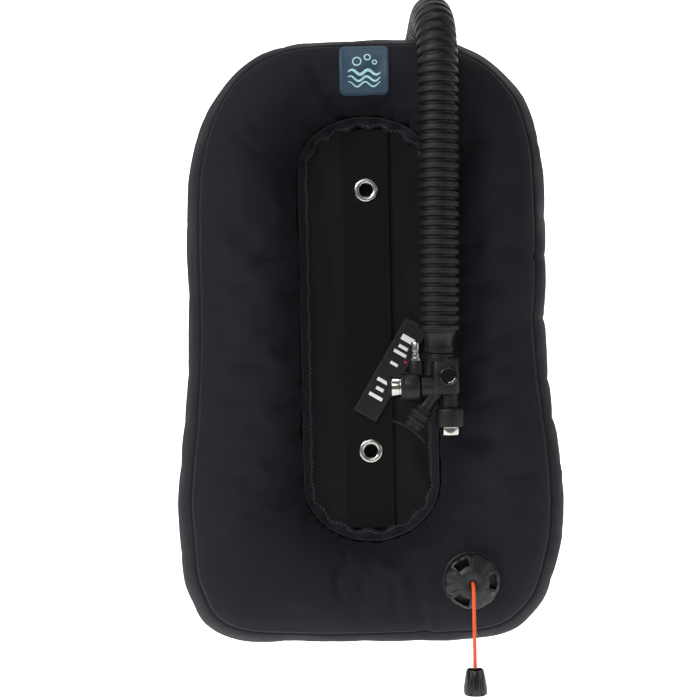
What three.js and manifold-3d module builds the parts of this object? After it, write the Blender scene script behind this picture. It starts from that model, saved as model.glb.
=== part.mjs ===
// A donut-shaped buoyancy wing for diving, inflated, with its corrugated hose, power inflator and dump valve.
// Millimetres, +Z up, and the diver's side faces -Y. The origin is in the middle of the front face of the
// centre webbing, halfway between its two grommets.
import * as THREE from "three";
import { mergeVertices } from "three/addons/utils/BufferGeometryUtils.js";
import Module from "manifold-3d";

const wasm = await Module();
wasm.setup();

// ---- Driving dimensions ----
const gap = 0.3; // between pieces that touch

const wingHeight = 644;
const wingTop = 301; // height of the top edge above the origin
const shoulderWidth = 387;
const hipWidth = 412;
const holeWidth = 144;
const topTube = 84; // width of the air tube over the hole
const bottomTube = 108;
const holeTopRise = 55; // height of the rounded end at the top of the hole
const holeBottomRise = 62;
const tubeDepthMost = 66; // the most that the air tube stands out from its middle plane
const topSquareness = 3.6; // superellipse powers of the outline's corners
const bottomSquareness = 6.4;
const seamAngle = 42; // degrees round the tube from its outer edge to a gusset seam
const fabricWall = 1.8;
const bladderWall = 1.2;
const bladderSlack = 0.8; // between the bladder and the sewn shell

const endFacetShare = 0.06; // share of an end's rise that the hole's facets cut off
const webbingWidth = 50;
const webbingThickness = 3;
const centreFabric = 1.8;
const grommetSpacing = 279.4;
const grommetHole = 14.5;
const grommetBarrel = 0.7;
const grommetOuter = 25.4;
const grommetRim = 1.7;
const bindingWidth = 5;

const badgeSize = 52;
const badgeThickness = 1.4;
const badgeCorner = 7;
const strapWidth = 28;
const strapThickness = 1.5;

const zipTop = 130;
const zipBottom = -100;
const zipTapeAngle = 16; // degrees of the tube that the tape covers
const zipTapeThickness = 1.2;
const zipSliderLength = 18;
const zipSliderWidth = 9;
const zipSliderThickness = 5;

const hoseOuter = 42;
const hoseLowerLength = 220; // the stretch that swings with the inflator
const hoseBendLength = 95; // the stretch that bends when it does
const elbowTube = 15; // outer radius of the elbow
const elbowWall = 2.6;
const gasketThickness = 1.4;
const elbowFlange = 23;
const elbowFlangeThickness = 3.5;
const elbowRise = 20; // from the flange's outer face to the outlet's axis
const elbowCrownAngle = 72; // degrees round the rounded top end of the hole
const elbowOutletAngle = 45; // degrees of the outlet above +X
const elbowOutletLength = 24;

const inflatorDepth = -73; // Y of the inflator's middle plane
const bodyWidth = 27;
const bodyDepth = 26;
const bodyTop = -41.5;
const bodyBottom = -77.6;
const bodyMiddleX = 76;
const cuffOuter = 13.4;
const cuffBore = 11.3;
const cuffTop = -15.6;
const cuffBottom = -36.2;
const neckRadius = 8.7;
const discRadius = 9.4;
const armRadius = 11.6;
const armZ = -70;
const inflateHousingRadius = 15.2;
const inflateHousingLength = 19.3;
const inflateHousingLeft = 30.6;
const buttonRadius = 11;
const buttonProud = 10;
const buttonCapLength = 3.6;
const deflateHousingRadius = 14.6;
const deflateHousingTop = -92;
const deflateHousingLength = 19.3;
const deflateMiddleX = 80;
const deflateButtonRadius = 10.1;
const deflateProud = 8.5;
const stemRadius = 2.2;
const nippleX = 46.6;
const nippleBossRadius = 8.1;
const nippleBossTop = -43.6;
const nippleRadius = 4.75;
const nippleLength = 19;
const oralTube = 7.5;
const oralBore = 5.5;
const mouthpieceAngle = 54.3; // degrees below the horizontal
const mouthpieceFlange = 43;

const valveAngle = -45.3; // degrees round the rounded bottom end of the hole
const valveInset = 7; // from the middle of the tube towards the hole
const valveFlange = 29.5;
const valveFlangeThickness = 3;
const valveNeck = 19.5;
const valveBore = 14;
const valveSeatBore = 10;
const capRadius = 28.5;
const capHeight = 18.5;
const capWall = 2.4;
const capCordHole = 2.8;
const cordDiameter = 3.8;
const toggleTop = 9;
const toggleBottom = 12.3;
const toggleHeight = 28;

const loopSteps = 32; // facets round the wing
const valveSides = 24; // facets round the dump valve
const facetSag = 2.6; // the most that a facet lies inside the true skin

// ---- Finishes ----
const finish = (color, roughness, metalness = 0) => ({ color, roughness, metalness });
const shellFabric = finish(0x1d1d22, 0.8);
const bladderFilm = finish(0x2a3550, 0.5);
const webbing = finish(0x202024, 0.75);
const tape = finish(0x18181c, 0.8);
const steel = finish(0xc8cacc, 0.25, 1);
const chrome = finish(0xd8dadc, 0.12, 1);
const hoseRubber = finish(0x101013, 0.35);
const plastic = finish(0x111114, 0.45);
const rubber = finish(0x141416, 0.7);
const badgeRubber = finish(0x2d4b64, 0.6);
const orangeCord = finish(0xe06a1c, 0.8);
const springSteel = finish(0xa8aaac, 0.35, 1);

// ---- Solids ----
const radians = THREE.MathUtils.degToRad;

function toManifold(geometry) {
  const bare = geometry.clone();
  bare.deleteAttribute("normal");
  bare.deleteAttribute("uv");
  const merged = mergeVertices(bare, 1e-4);
  const index = merged.index.array;
  const kept = [];
  for (let i = 0; i < index.length; i += 3) {
    const [a, b, c] = [index[i], index[i + 1], index[i + 2]];
    if (a !== b && b !== c && c !== a) kept.push(a, b, c);
  }
  const build = (triangles) =>
    new wasm.Manifold(
      new wasm.Mesh({
        numProp: 3,
        vertProperties: new Float32Array(merged.attributes.position.array),
        triVerts: new Uint32Array(triangles),
      }),
    );
  const solid = build(kept);
  return solid.volume() > 0 ? solid : build(kept.reverse());
}

function toGeometry(manifold) {
  const mesh = manifold.getMesh();
  const positions = new Float32Array(mesh.numVert * 3);
  for (let i = 0; i < mesh.numVert; i++) {
    const from = i * mesh.numProp;
    positions.set(mesh.vertProperties.subarray(from, from + 3), i * 3);
  }
  const geometry = new THREE.BufferGeometry();
  geometry.setAttribute("position", new THREE.BufferAttribute(positions, 3));
  geometry.setIndex(new THREE.BufferAttribute(new Uint32Array(mesh.triVerts), 1));
  geometry.computeVertexNormals();
  return geometry;
}

const join = (first, ...others) =>
  toGeometry(others.reduce((sum, other) => sum.add(toManifold(other)), toManifold(first)));

const cut = (first, ...tools) =>
  toGeometry(tools.reduce((left, tool) => left.subtract(toManifold(tool)), toManifold(first)));

// A profile of [radius, height] points turned about an axis, with the profile's height along that axis.
function turned(profile, axis = "z", sides = 16) {
  const geometry = new THREE.LatheGeometry(
    profile.map(([r, h]) => new THREE.Vector2(r, h)),
    sides,
  );
  if (axis === "x") geometry.rotateZ(-Math.PI / 2);
  if (axis === "z") geometry.rotateX(Math.PI / 2);
  return geometry;
}

const rod = (radius, from, to, axis, sides) =>
  turned([[0, from], [radius, from], [radius, to], [0, to]], axis, sides);

const ring = (inner, outer, from, to, axis, sides) =>
  turned([[inner, from], [outer, from], [outer, to], [inner, to], [inner, from]], axis, sides);

// A closed shape of X and Z, as thick as from yFront to yBack.
function plate(shape, yFront, yBack) {
  const geometry = new THREE.ExtrudeGeometry(shape, { depth: yBack - yFront, bevelEnabled: false });
  return geometry.rotateX(Math.PI / 2).translate(0, yBack, 0);
}

function roundTube(points, radius, sides, steps) {
  const section = new THREE.Shape();
  for (let i = 0; i < sides; i++) {
    const angle = (2 * Math.PI * i) / sides;
    section.lineTo(radius * Math.cos(angle), radius * Math.sin(angle));
  }
  section.closePath();
  const path = new THREE.CatmullRomCurve3(points.map((p) => new THREE.Vector3(...p)));
  return new THREE.ExtrudeGeometry(section, { steps, extrudePath: path, bevelEnabled: false });
}

function spring(startRadius, endRadius, wire, from, to, axis, turns = 2.5) {
  const perTurn = 8;
  const count = Math.round(turns * perTurn);
  const points = Array.from({ length: count + 1 }, (_, i) => {
    const angle = (2 * Math.PI * i) / perTurn;
    const radius = THREE.MathUtils.lerp(startRadius, endRadius, i / count);
    return [radius * Math.cos(angle), THREE.MathUtils.lerp(from, to, i / count), radius * Math.sin(angle)];
  });
  const coil = roundTube(points, wire / 2, 4, count);
  if (axis === "x") coil.rotateZ(-Math.PI / 2);
  if (axis === "z") coil.rotateX(Math.PI / 2);
  return coil;
}

// ---- The shape of the wing ----
const wingBottom = wingTop - wingHeight;
const wingMiddle = (wingTop + wingBottom) / 2;
const holeTop = wingTop - topTube;
const holeBottom = wingBottom + bottomTube;
const upperCentre = holeTop - holeTopRise; // middle of the rounded end
const lowerCentre = holeBottom + holeBottomRise;
const panelMiddle = webbingThickness + gap + centreFabric / 2; // Y of the tube's middle plane

function outlinePoint(angle) {
  const [c, s] = [Math.cos(angle), Math.sin(angle)];
  const power = s > 0 ? topSquareness : bottomSquareness;
  const reach = (Math.abs(c) ** power + Math.abs(s) ** power) ** (-1 / power);
  const z = wingMiddle + (wingHeight / 2) * reach * s;
  const flare = THREE.MathUtils.smoothstep(-z, 0, -lowerCentre);
  const halfWidth = THREE.MathUtils.lerp(shoulderWidth, hipWidth, flare) / 2;
  return new THREE.Vector3(halfWidth * reach * c, 0, z);
}

// The point of the hole's edge that faces a point of the outline.
function holePoint(outer) {
  const half = holeWidth / 2;
  if (outer.z > upperCentre) {
    const angle = Math.atan2(outer.z - upperCentre, outer.x);
    return new THREE.Vector3(half * Math.cos(angle), 0, upperCentre + holeTopRise * Math.sin(angle));
  }
  if (outer.z < lowerCentre) {
    const angle = Math.atan2(outer.z - lowerCentre, outer.x);
    return new THREE.Vector3(half * Math.cos(angle), 0, lowerCentre + holeBottomRise * Math.sin(angle));
  }
  return new THREE.Vector3(half * Math.sign(outer.x), 0, outer.z);
}

// The air tube's cross-section where its outer edge is at a point of the outline.
function sectionAt(outer) {
  const inner = holePoint(outer);
  const half = inner.distanceTo(outer) / 2;
  return {
    middle: inner.clone().add(outer).multiplyScalar(0.5),
    outward: outer.clone().sub(inner).normalize(),
    half,
    depth: (half ** -6 + tubeDepthMost ** -6) ** (-1 / 6),
  };
}

// A point of the tube's skin: the angle runs from the outer edge, positive to the back, and the depth inward.
function skinPoint(section, angle, inset) {
  const reach = (section.half - inset) * Math.cos(angle);
  const point = section.middle.clone().addScaledVector(section.outward, reach);
  point.y = panelMiddle + (section.depth - inset) * Math.sin(angle);
  return point;
}

const outline = new THREE.CatmullRomCurve3(
  Array.from({ length: 360 }, (_, i) => outlinePoint(Math.PI / 2 - (2 * Math.PI * i) / 360)),
  true,
);
outline.arcLengthDivisions = 2000;
const sections = outline.getSpacedPoints(loopSteps).slice(0, loopSteps).map(sectionAt);

// The section whose middle lies in a direction, in degrees, from the middle of a rounded end of the hole.
function sectionToward(degrees) {
  const centre = degrees > 0 ? upperCentre : lowerCentre;
  const aim = radians(degrees);
  const miss = (p) => Math.abs(Math.atan2(p.z - centre, p.x) - aim);
  const points = outline.getPoints(4000).filter((p) => (degrees > 0 ? p.z > centre : p.z < centre));
  return sectionAt(points.reduce((best, p) => (miss(p) < miss(best) ? p : best)));
}

// How far the skin stands out from the tube's middle plane under a round flange, at its highest and lowest.
function skinHeights(centre, radius) {
  const heights = outline.getSpacedPoints(240).flatMap((outer) => {
    const section = sectionAt(outer);
    return Array.from({ length: 60 }, (_, j) => skinPoint(section, (Math.PI * j) / 60, 0))
      .filter((p) => Math.hypot(p.x - centre[0], p.z - centre[2]) < radius)
      .map((p) => p.y - panelMiddle);
  });
  return { highest: Math.max(...heights), lowest: Math.min(...heights) };
}

// A closed surface from a grid of points: rows[i][j], where the rows may close on themselves.
function gridSolid(rows, closed) {
  const width = rows[0].length;
  const index = [];
  const last = closed ? rows.length : rows.length - 1;
  for (let i = 0; i < last; i++) {
    for (let j = 0; j < width; j++) {
      const a = i * width + j;
      const b = i * width + ((j + 1) % width);
      const c = ((i + 1) % rows.length) * width + ((j + 1) % width);
      const d = ((i + 1) % rows.length) * width + j;
      index.push(a, b, c, a, c, d);
    }
  }
  if (!closed) {
    const end = (rows.length - 1) * width;
    for (let j = 0; j < width / 2 - 1; j++) {
      const [p, q, r, s] = [j, j + 1, width - 2 - j, width - 1 - j];
      index.push(p, r, q, p, s, r, end + p, end + q, end + r, end + p, end + r, end + s);
    }
  }
  const geometry = new THREE.BufferGeometry();
  geometry.setAttribute(
    "position",
    new THREE.BufferAttribute(new Float32Array(rows.flat().flatMap((p) => p.toArray())), 3),
  );
  geometry.setIndex(index);
  return geometry;
}

// A sewn piece of the tube's skin between two angles in degrees, pulled back by a length at each edge.
function skinPiece(over, from, to, { inset = 0, wall, steps, edge = gap / 2, closed = true }) {
  const rows = over.map((section) => {
    const pull = edge / section.depth;
    const angles = Array.from({ length: steps + 1 }, (_, j) =>
      THREE.MathUtils.lerp(radians(from) + pull, radians(to) - pull, j / steps),
    );
    return [
      ...angles.map((angle) => skinPoint(section, angle, inset)),
      ...angles.reverse().map((angle) => skinPoint(section, angle, inset + wall)),
    ];
  });
  return gridSolid(rows, closed);
}

// ---- Scene graph ----
const part = new THREE.Group();

function add(name, geometry, look, position = [0, 0, 0]) {
  const closed = toGeometry(toManifold(geometry));
  const mesh = new THREE.Mesh(closed, new THREE.MeshStandardMaterial(look));
  mesh.name = name;
  mesh.position.set(...position);
  part.add(mesh);
}

// Places that several sub-assemblies share.
const innerClearance = fabricWall + bladderSlack + bladderWall + facetSag;
const valveSection = sectionToward(valveAngle);
const valveMiddle = valveSection.middle.clone().addScaledVector(valveSection.outward, -valveInset);
const valveCentre = [valveMiddle.x, 0, valveMiddle.z];
const valveSkin = skinHeights(valveCentre, valveFlange);
const valveFace = panelMiddle - valveSkin.highest - gap; // Y of the flange's back
const valveInside = panelMiddle - valveSkin.lowest + innerClearance; // Y where the inner pieces start
const valveHole = rod(valveNeck + gap, valveFace - 5, valveInside + 20, "y", valveSides);
const valveOpening = valveHole.translate(...valveCentre);
const elbowSection = sectionToward(elbowCrownAngle);
const elbowCentre = [elbowSection.middle.x, 0, elbowSection.middle.z];
const elbowSkin = skinHeights(elbowCentre, elbowFlange);
const elbowFace = panelMiddle + elbowSkin.highest + gap;
const elbowInside = panelMiddle + elbowSkin.lowest - innerClearance;
const elbowOpening = rod(elbowTube + gap, elbowInside - 20, elbowFace + 5, "y").translate(...elbowCentre);

// ---- Sewn shell and bladder ----
// Degrees round the tube at which its skin is faceted, the same for the panels and for the bladder in them.
const panelSteps = 5;
const gussetSteps = 3;
const facetAngles = [
  ...Array.from({ length: panelSteps }, (_, j) => -180 + (j * (180 - seamAngle)) / panelSteps),
  ...Array.from({ length: gussetSteps }, (_, j) => -seamAngle + (j * 2 * seamAngle) / gussetSteps),
  ...Array.from({ length: panelSteps }, (_, j) => seamAngle + (j * (180 - seamAngle)) / panelSteps),
];

function addShell() {
  const innerEdge = centreFabric / 2 + gap;
  const wall = fabricWall;
  const front = skinPiece(sections, -180, -seamAngle, { wall, steps: panelSteps });
  const back = skinPiece(sections, seamAngle, 180, { wall, steps: panelSteps });
  const middleSlot = skinPiece(sections, 179, 181, { inset: -1, wall: wall + 2, steps: 1, edge: -innerEdge });
  add("front_panel", cut(front, middleSlot, valveOpening), shellFabric);
  add("back_panel", cut(back, middleSlot, elbowOpening), shellFabric);
  add("outer_gusset", skinPiece(sections, -seamAngle, seamAngle, { wall, steps: gussetSteps }), shellFabric);
}

function addBladder() {
  const inset = fabricWall + bladderSlack;
  const tubeSkin = (depth) => {
    const rows = sections.map((section) =>
      facetAngles.map((angle) => skinPoint(section, radians(angle), depth)),
    );
    return gridSolid(rows, true);
  };
  const hollow = cut(tubeSkin(inset), tubeSkin(inset + bladderWall), valveOpening, elbowOpening);
  add("air_bladder", hollow, bladderFilm);
}

// The hole's edge moved inward from the seam.
const holeEdge = (inward) =>
  sections.map((section) => skinPoint(section, Math.PI, 0).addScaledVector(section.outward, -inward));

function addBinding(name, y) {
  const radius = bindingWidth / 2;
  const sides = 6;
  const rows = sections.map((section) =>
    Array.from({ length: sides }, (_, j) => {
      const angle = (2 * Math.PI * j) / sides;
      const point = skinPoint(section, Math.PI, 0);
      point.addScaledVector(section.outward, -radius - gap + radius * Math.cos(angle));
      point.y = y + radius * Math.sin(angle);
      return point;
    }),
  );
  add(name, gridSolid(rows, true), tape);
}

function addCentre() {
  const back = webbingThickness + gap + centreFabric;
  const outlineShape = new THREE.Shape(holeEdge(gap).map((p) => new THREE.Vector2(p.x, p.z)));
  const barrel = grommetHole / 2 + grommetBarrel + gap;
  const holes = [1, -1].map((side) =>
    rod(barrel, -5, back + 5, "y").translate(0, 0, (side * grommetSpacing) / 2),
  );
  add("centre_panel", cut(plate(outlineShape, webbingThickness + gap, back), ...holes), shellFabric);

  const half = webbingWidth / 2;
  const clear = bindingWidth + 2 * gap;
  const endAt = (centre, rise, sign) =>
    centre + sign * (rise * Math.sqrt(1 - (half / (holeWidth / 2)) ** 2) - clear - rise * endFacetShare);
  const strip = new THREE.Shape([
    new THREE.Vector2(-half, endAt(lowerCentre, holeBottomRise, -1)),
    new THREE.Vector2(half, endAt(lowerCentre, holeBottomRise, -1)),
    new THREE.Vector2(half, endAt(upperCentre, holeTopRise, 1)),
    new THREE.Vector2(-half, endAt(upperCentre, holeTopRise, 1)),
  ]);
  add("centre_webbing", cut(plate(strip, 0, webbingThickness), ...holes), webbing);

  addBinding("front_hole_binding", webbingThickness - bindingWidth / 2);
  addBinding("rear_hole_binding", back + gap + bindingWidth / 2);
}

function addGrommet(place, z) {
  const bore = grommetHole / 2;
  const sleeve = bore + grommetBarrel;
  const outer = grommetOuter / 2;
  const back = webbingThickness + gap + centreFabric;
  const washer = 1.2;
  const face = -gap - grommetRim;
  const rim = turned(
    [
      [bore, back + gap + washer],
      [bore, face + 0.8],
      [bore + 0.9, face],
      [bore + 2, face + 0.6],
      [outer - 1.6, face + 0.6],
      [outer, -gap],
      [sleeve, -gap],
      [sleeve, back + gap + washer],
      [bore, back + gap + washer],
    ],
    "y",
    24,
  );
  add(`${place}_grommet`, rim, steel, [0, 0, z]);
  const washerRing = ring(sleeve + gap, outer, back + gap, back + gap + washer, "y", 24);
  add(`${place}_grommet_washer`, washerRing, steel, [0, 0, z]);
}

function addBadge() {
  const fromBottom = sections.map((s, i) => sections[(i + loopSteps / 2) % loopSteps]);
  const top = fromBottom.filter((s) => s.middle.z > upperCentre && Math.abs(s.middle.x) < badgeSize);
  const spread = THREE.MathUtils.radToDeg(badgeSize / 2 / sections[0].depth);
  const band = skinPiece(top, -90 - spread, -90 + spread, {
    inset: -gap - badgeThickness,
    wall: badgeThickness,
    steps: 6,
    closed: false,
  });
  const half = badgeSize / 2;
  const middleZ = sections[0].middle.z;
  const square = new THREE.Shape();
  square.moveTo(-half + badgeCorner, middleZ - half);
  square.lineTo(half - badgeCorner, middleZ - half);
  square.quadraticCurveTo(half, middleZ - half, half, middleZ - half + badgeCorner);
  square.lineTo(half, middleZ + half - badgeCorner);
  square.quadraticCurveTo(half, middleZ + half, half - badgeCorner, middleZ + half);
  square.lineTo(-half + badgeCorner, middleZ + half);
  square.quadraticCurveTo(-half, middleZ + half, -half, middleZ + half - badgeCorner);
  square.lineTo(-half, middleZ - half + badgeCorner);
  square.quadraticCurveTo(-half, middleZ - half, -half + badgeCorner, middleZ - half);
  const trimmed = toManifold(band).intersect(toManifold(plate(square, -tubeDepthMost - 20, 0)));
  add("badge_patch", toGeometry(trimmed), badgeRubber);
}

// A flat tag sewn into the right edge of the hole, which lies over the webbing.
function addTagStrap() {
  const [startX, startZ] = [holeWidth / 2 - bindingWidth - 2 * gap - strapWidth / 2, -4];
  const [endX, endZ] = [-6, -102];
  const length = Math.hypot(startX - endX, startZ - endZ);
  const strap = new THREE.BoxGeometry(length, strapThickness, strapWidth);
  strap.rotateY(-Math.atan2(startZ - endZ, startX - endX));
  const y = -gap - strapThickness / 2;
  strap.translate((startX + endX) / 2, y, (startZ + endZ) / 2);
  add("tag_strap", strap, tape);
}

// The access zip on the back, along the middle of the right-hand tube.
function addZip() {
  const over = Array.from({ length: 13 }, (_, i) => {
    const z = THREE.MathUtils.lerp(zipBottom, zipTop, i / 12);
    const points = outline.getPoints(2000).filter((p) => p.x > 0);
    return sectionAt(points.reduce((best, p) => (Math.abs(p.z - z) < Math.abs(best.z - z) ? p : best)));
  });
  const half = zipTapeAngle / 2;
  const tapeSkin = skinPiece(over, 90 - half, 90 + half, {
    inset: -gap - zipTapeThickness,
    wall: zipTapeThickness,
    steps: 2,
    closed: false,
  });
  add("access_zip", tapeSkin, tape);
  const top = skinPoint(over[12], Math.PI / 2, 0);
  const slider = new THREE.BoxGeometry(zipSliderWidth, zipSliderThickness, zipSliderLength);
  const standOff = 2 * gap + zipTapeThickness + zipSliderThickness / 2 + 0.4;
  add("zip_slider", slider, chrome, [top.x, top.y + standOff, top.z - zipSliderLength / 2 - 2]);
}

// ---- Elbow and hose ----
const outletTurn = radians(90 - elbowOutletAngle);
const outletY = elbowFace + elbowFlangeThickness + elbowRise;

// Turns a piece made along +Z about the elbow's outlet to lie along it.
const alongOutlet = (geometry) =>
  geometry.rotateY(outletTurn).translate(elbowCentre[0], outletY, elbowCentre[2]);

function addElbow() {
  const neckEnd = elbowInside - 6;
  const pipe = (radius, extra) =>
    join(
      rod(radius, neckEnd - extra, outletY, "y").translate(...elbowCentre),
      new THREE.SphereGeometry(radius, 20, 10).translate(elbowCentre[0], outletY, elbowCentre[2]),
      alongOutlet(rod(radius, 0, elbowOutletLength + extra, "z")),
    );
  const flange = rod(elbowFlange, elbowFace, elbowFace + elbowFlangeThickness, "y").translate(...elbowCentre);
  add("elbow", cut(join(pipe(elbowTube, 0), flange), pipe(elbowTube - elbowWall, 1)), plastic);
  const inner = elbowTube + gap;
  const gasket = ring(inner, elbowFlange - 1, elbowInside - gasketThickness, elbowInside, "y");
  add("elbow_gasket", gasket, rubber, elbowCentre);
  const nut = ring(inner, elbowFlange, neckEnd + 0.5, elbowInside - gasketThickness - gap, "y");
  add("elbow_ring_nut", nut, plastic, elbowCentre);
  const cuff = ring(inner, inner + 2.4, elbowTube + 2 * gap, elbowOutletLength - gap, "z");
  add("upper_hose_cuff", alongOutlet(cuff), hoseRubber);
  add("upper_hose_tie", alongOutlet(hoseTie(inner + 2.4 + gap, elbowOutletLength - 7)), plastic);
}

// A cable tie round +Z with its head, whose band starts at a height.
function hoseTie(inner, from) {
  const [thickness, width] = [1.3, 4.5];
  const head = new THREE.BoxGeometry(6, 5, width + 1.5).translate(0, inner + 2.2, from + width / 2);
  const band = ring(inner, inner + thickness, from, from + width, "z", 20);
  return cut(join(band, head), rod(inner, from - 5, from + width + 5, "z", 20));
}

// The hose's centreline, chosen by hand: over the top edge of the wing and down its front.
const hoseRoute = [
  [51, 75.4, 274.7],
  [53.8, 75.4, 277.5],
  [57.4, 74.6, 281.6],
  [62.2, 70.8, 289.8],
  [66, 61, 302],
  [69, 45, 313],
  [70.5, 25, 320.5],
  [71.5, 4, 323],
  [72.2, -18, 320.5],
  [73, -40, 312],
  [73.8, -57, 298.5],
  [74.3, -67, 281],
  [74.5, -72, 262],
  [74.5, -73, 243],
  [74.3, -73, 224],
  [74, -73, 205],
  [73.4, -73, 160],
  [72.8, -73, 115],
  [72, -73, 70],
  [71.2, -73, 25],
  [70.4, -73, -15.3],
];

// Part of the hose between two lengths along it.
function hoseStretch(name, from, to) {
  const path = new THREE.CatmullRomCurve3(hoseRoute.map((p) => new THREE.Vector3(...p)));
  path.arcLengthDivisions = 2000;
  const length = path.getLength();
  const count = Math.ceil(to - from);
  const points = Array.from({ length: count + 1 }, (_, i) =>
    path.getPointAt(THREE.MathUtils.lerp(from, to, i / count) / length).toArray(),
  );
  const steps = Math.ceil((to - from) / (hoseOuter / 3));
  add(name, roundTube(points, hoseOuter / 2, 12, steps), hoseRubber);
}

function addHose() {
  const joint = 3 * gap; // where two stretches meet at a bend
  const path = new THREE.CatmullRomCurve3(hoseRoute.map((p) => new THREE.Vector3(...p)));
  const length = path.getLength();
  const bendEnd = length - hoseLowerLength;
  const bendStart = bendEnd - hoseBendLength;
  hoseStretch("hose_upper", 0, bendStart - joint);
  hoseStretch("hose_bend", bendStart, bendEnd - joint);
  hoseStretch("hose_lower", bendEnd, length);
}

// ---- Power inflator ----
const hoseEndX = hoseRoute.at(-1)[0];
const bodyCentre = (x) => [x, inflatorDepth, 0];

function roundedBlock(width, depth, from, to, corner) {
  const [w, d] = [width / 2, depth / 2];
  const shape = new THREE.Shape();
  shape.moveTo(-w + corner, -d);
  shape.lineTo(w - corner, -d);
  shape.absarc(w - corner, -d + corner, corner, -Math.PI / 2, 0);
  shape.absarc(w - corner, d - corner, corner, 0, Math.PI / 2);
  shape.absarc(-w + corner, d - corner, corner, Math.PI / 2, Math.PI);
  shape.absarc(-w + corner, -d + corner, corner, Math.PI, 1.5 * Math.PI);
  const options = { depth: to - from, bevelEnabled: false, curveSegments: 5 };
  return new THREE.ExtrudeGeometry(shape, options).translate(0, 0, from);
}

// Turns a piece made along +Z to lie along the oral tube.
const oralStart = [63, inflatorDepth, -80];
const alongOral = (geometry) =>
  geometry.rotateY(-radians(90 + mouthpieceAngle)).translate(...oralStart);

function addHoseEnd() {
  const cuff = ring(cuffBore, cuffOuter, cuffBottom, cuffTop, "z");
  add("lower_hose_cuff", cuff, hoseRubber, bodyCentre(hoseEndX));
  add("lower_hose_tie", hoseTie(cuffOuter + gap, -34.5), plastic, bodyCentre(hoseEndX));
}

function addInflatorBody() {
  const hoseCentre = bodyCentre(hoseEndX);
  const barb = rod(cuffBore - gap, bodyTop - 3, cuffTop - 1.4, "z").translate(...hoseCentre);
  const collar = rod(cuffOuter + 0.5, bodyTop - 3, cuffBottom - gap, "z").translate(...hoseCentre);
  const blockCentre = bodyCentre(bodyMiddleX);
  const block = roundedBlock(bodyWidth, bodyDepth, bodyBottom, bodyTop, 5).translate(...blockCentre);
  const armFrom = inflateHousingLeft + inflateHousingLength + gap;
  const arm = rod(armRadius, armFrom, bodyMiddleX - 5, "x").translate(0, inflatorDepth, armZ);
  const neckBottom = deflateHousingTop + gap;
  const neck = rod(neckRadius, neckBottom, bodyBottom + 3, "z").translate(...bodyCentre(deflateMiddleX));
  const oral = alongOral(rod(oralTube, -8, 20, "z"));
  const mainBore = rod(8, -70, 0, "z").translate(...bodyCentre(hoseEndX));
  const neckBore = rod(neckRadius - 2.4, neckBottom - 1, -62, "z").translate(...bodyCentre(deflateMiddleX));
  const armBore = rod(4, armFrom - 1, hoseEndX, "x").translate(0, inflatorDepth, armZ);
  const oralHole = alongOral(rod(oralBore, -10, 21, "z"));
  const whole = join(block, barb, collar, arm, neck, oral);
  add("inflator_body", cut(whole, mainBore, neckBore, armBore, oralHole), plastic);
  const discFront = inflatorDepth - bodyDepth / 2 - gap;
  const disc = turned(
    [
      [0, discFront - 3.2],
      [discRadius - 1.2, discFront - 3.2],
      [discRadius, discFront - 2.2],
      [discRadius, discFront],
      [0, discFront],
    ],
    "y",
  );
  add("inflator_disc", disc, plastic, [bodyMiddleX + 2.5, 0, -59.5]);
}

function addInflateValve() {
  const left = inflateHousingLeft;
  const right = left + inflateHousingLength;
  const seat = left + 12;
  const housing = join(
    rod(inflateHousingRadius, left, right, "x").translate(0, inflatorDepth, armZ),
    rod(nippleBossRadius, armZ + armRadius + 0.5, nippleBossTop, "z").translate(nippleX, inflatorDepth, 0),
  );
  const bore = rod(buttonRadius + gap, left - 1, seat, "x").translate(0, inflatorDepth, armZ);
  const stemHole = rod(stemRadius + gap, left, right + 1, "x").translate(0, inflatorDepth, armZ);
  add("inflate_housing", cut(housing, bore, stemHole), plastic);

  const base = nippleBossTop + gap;
  const nipple = turned(
    [
      [0, base],
      [6.3, base],
      [6.3, base + 2.8],
      [nippleRadius, base + 3.2],
      [nippleRadius, base + 7],
      [nippleRadius - 1.1, base + 7.6],
      [nippleRadius - 1.1, base + 9.8],
      [nippleRadius, base + 10.4],
      [nippleRadius, base + nippleLength - 1],
      [nippleRadius - 0.6, base + nippleLength],
      [2, base + nippleLength],
      [2, base + 5],
      [0, base + 5],
    ],
    "z",
  );
  add("quick_release_nipple", nipple, steel, bodyCentre(nippleX));

  const face = left - buttonProud;
  const shoulder = left + 4;
  const button = turned(
    [
      [0, face],
      [buttonRadius, face],
      [buttonRadius, shoulder],
      [stemRadius, shoulder],
      [stemRadius, right + 4],
      [0, right + 4],
    ],
    "x",
  );
  const place = [0, inflatorDepth, armZ];
  add("inflate_button", button, chrome, place);
  add("inflate_button_cap", rod(buttonRadius, face - gap - buttonCapLength, face - gap, "x"), plastic, place);
  add("inflate_spring", spring(6.5, 6.5, 1.2, shoulder + 1, seat - 1, "x"), springSteel, place);
}

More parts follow.
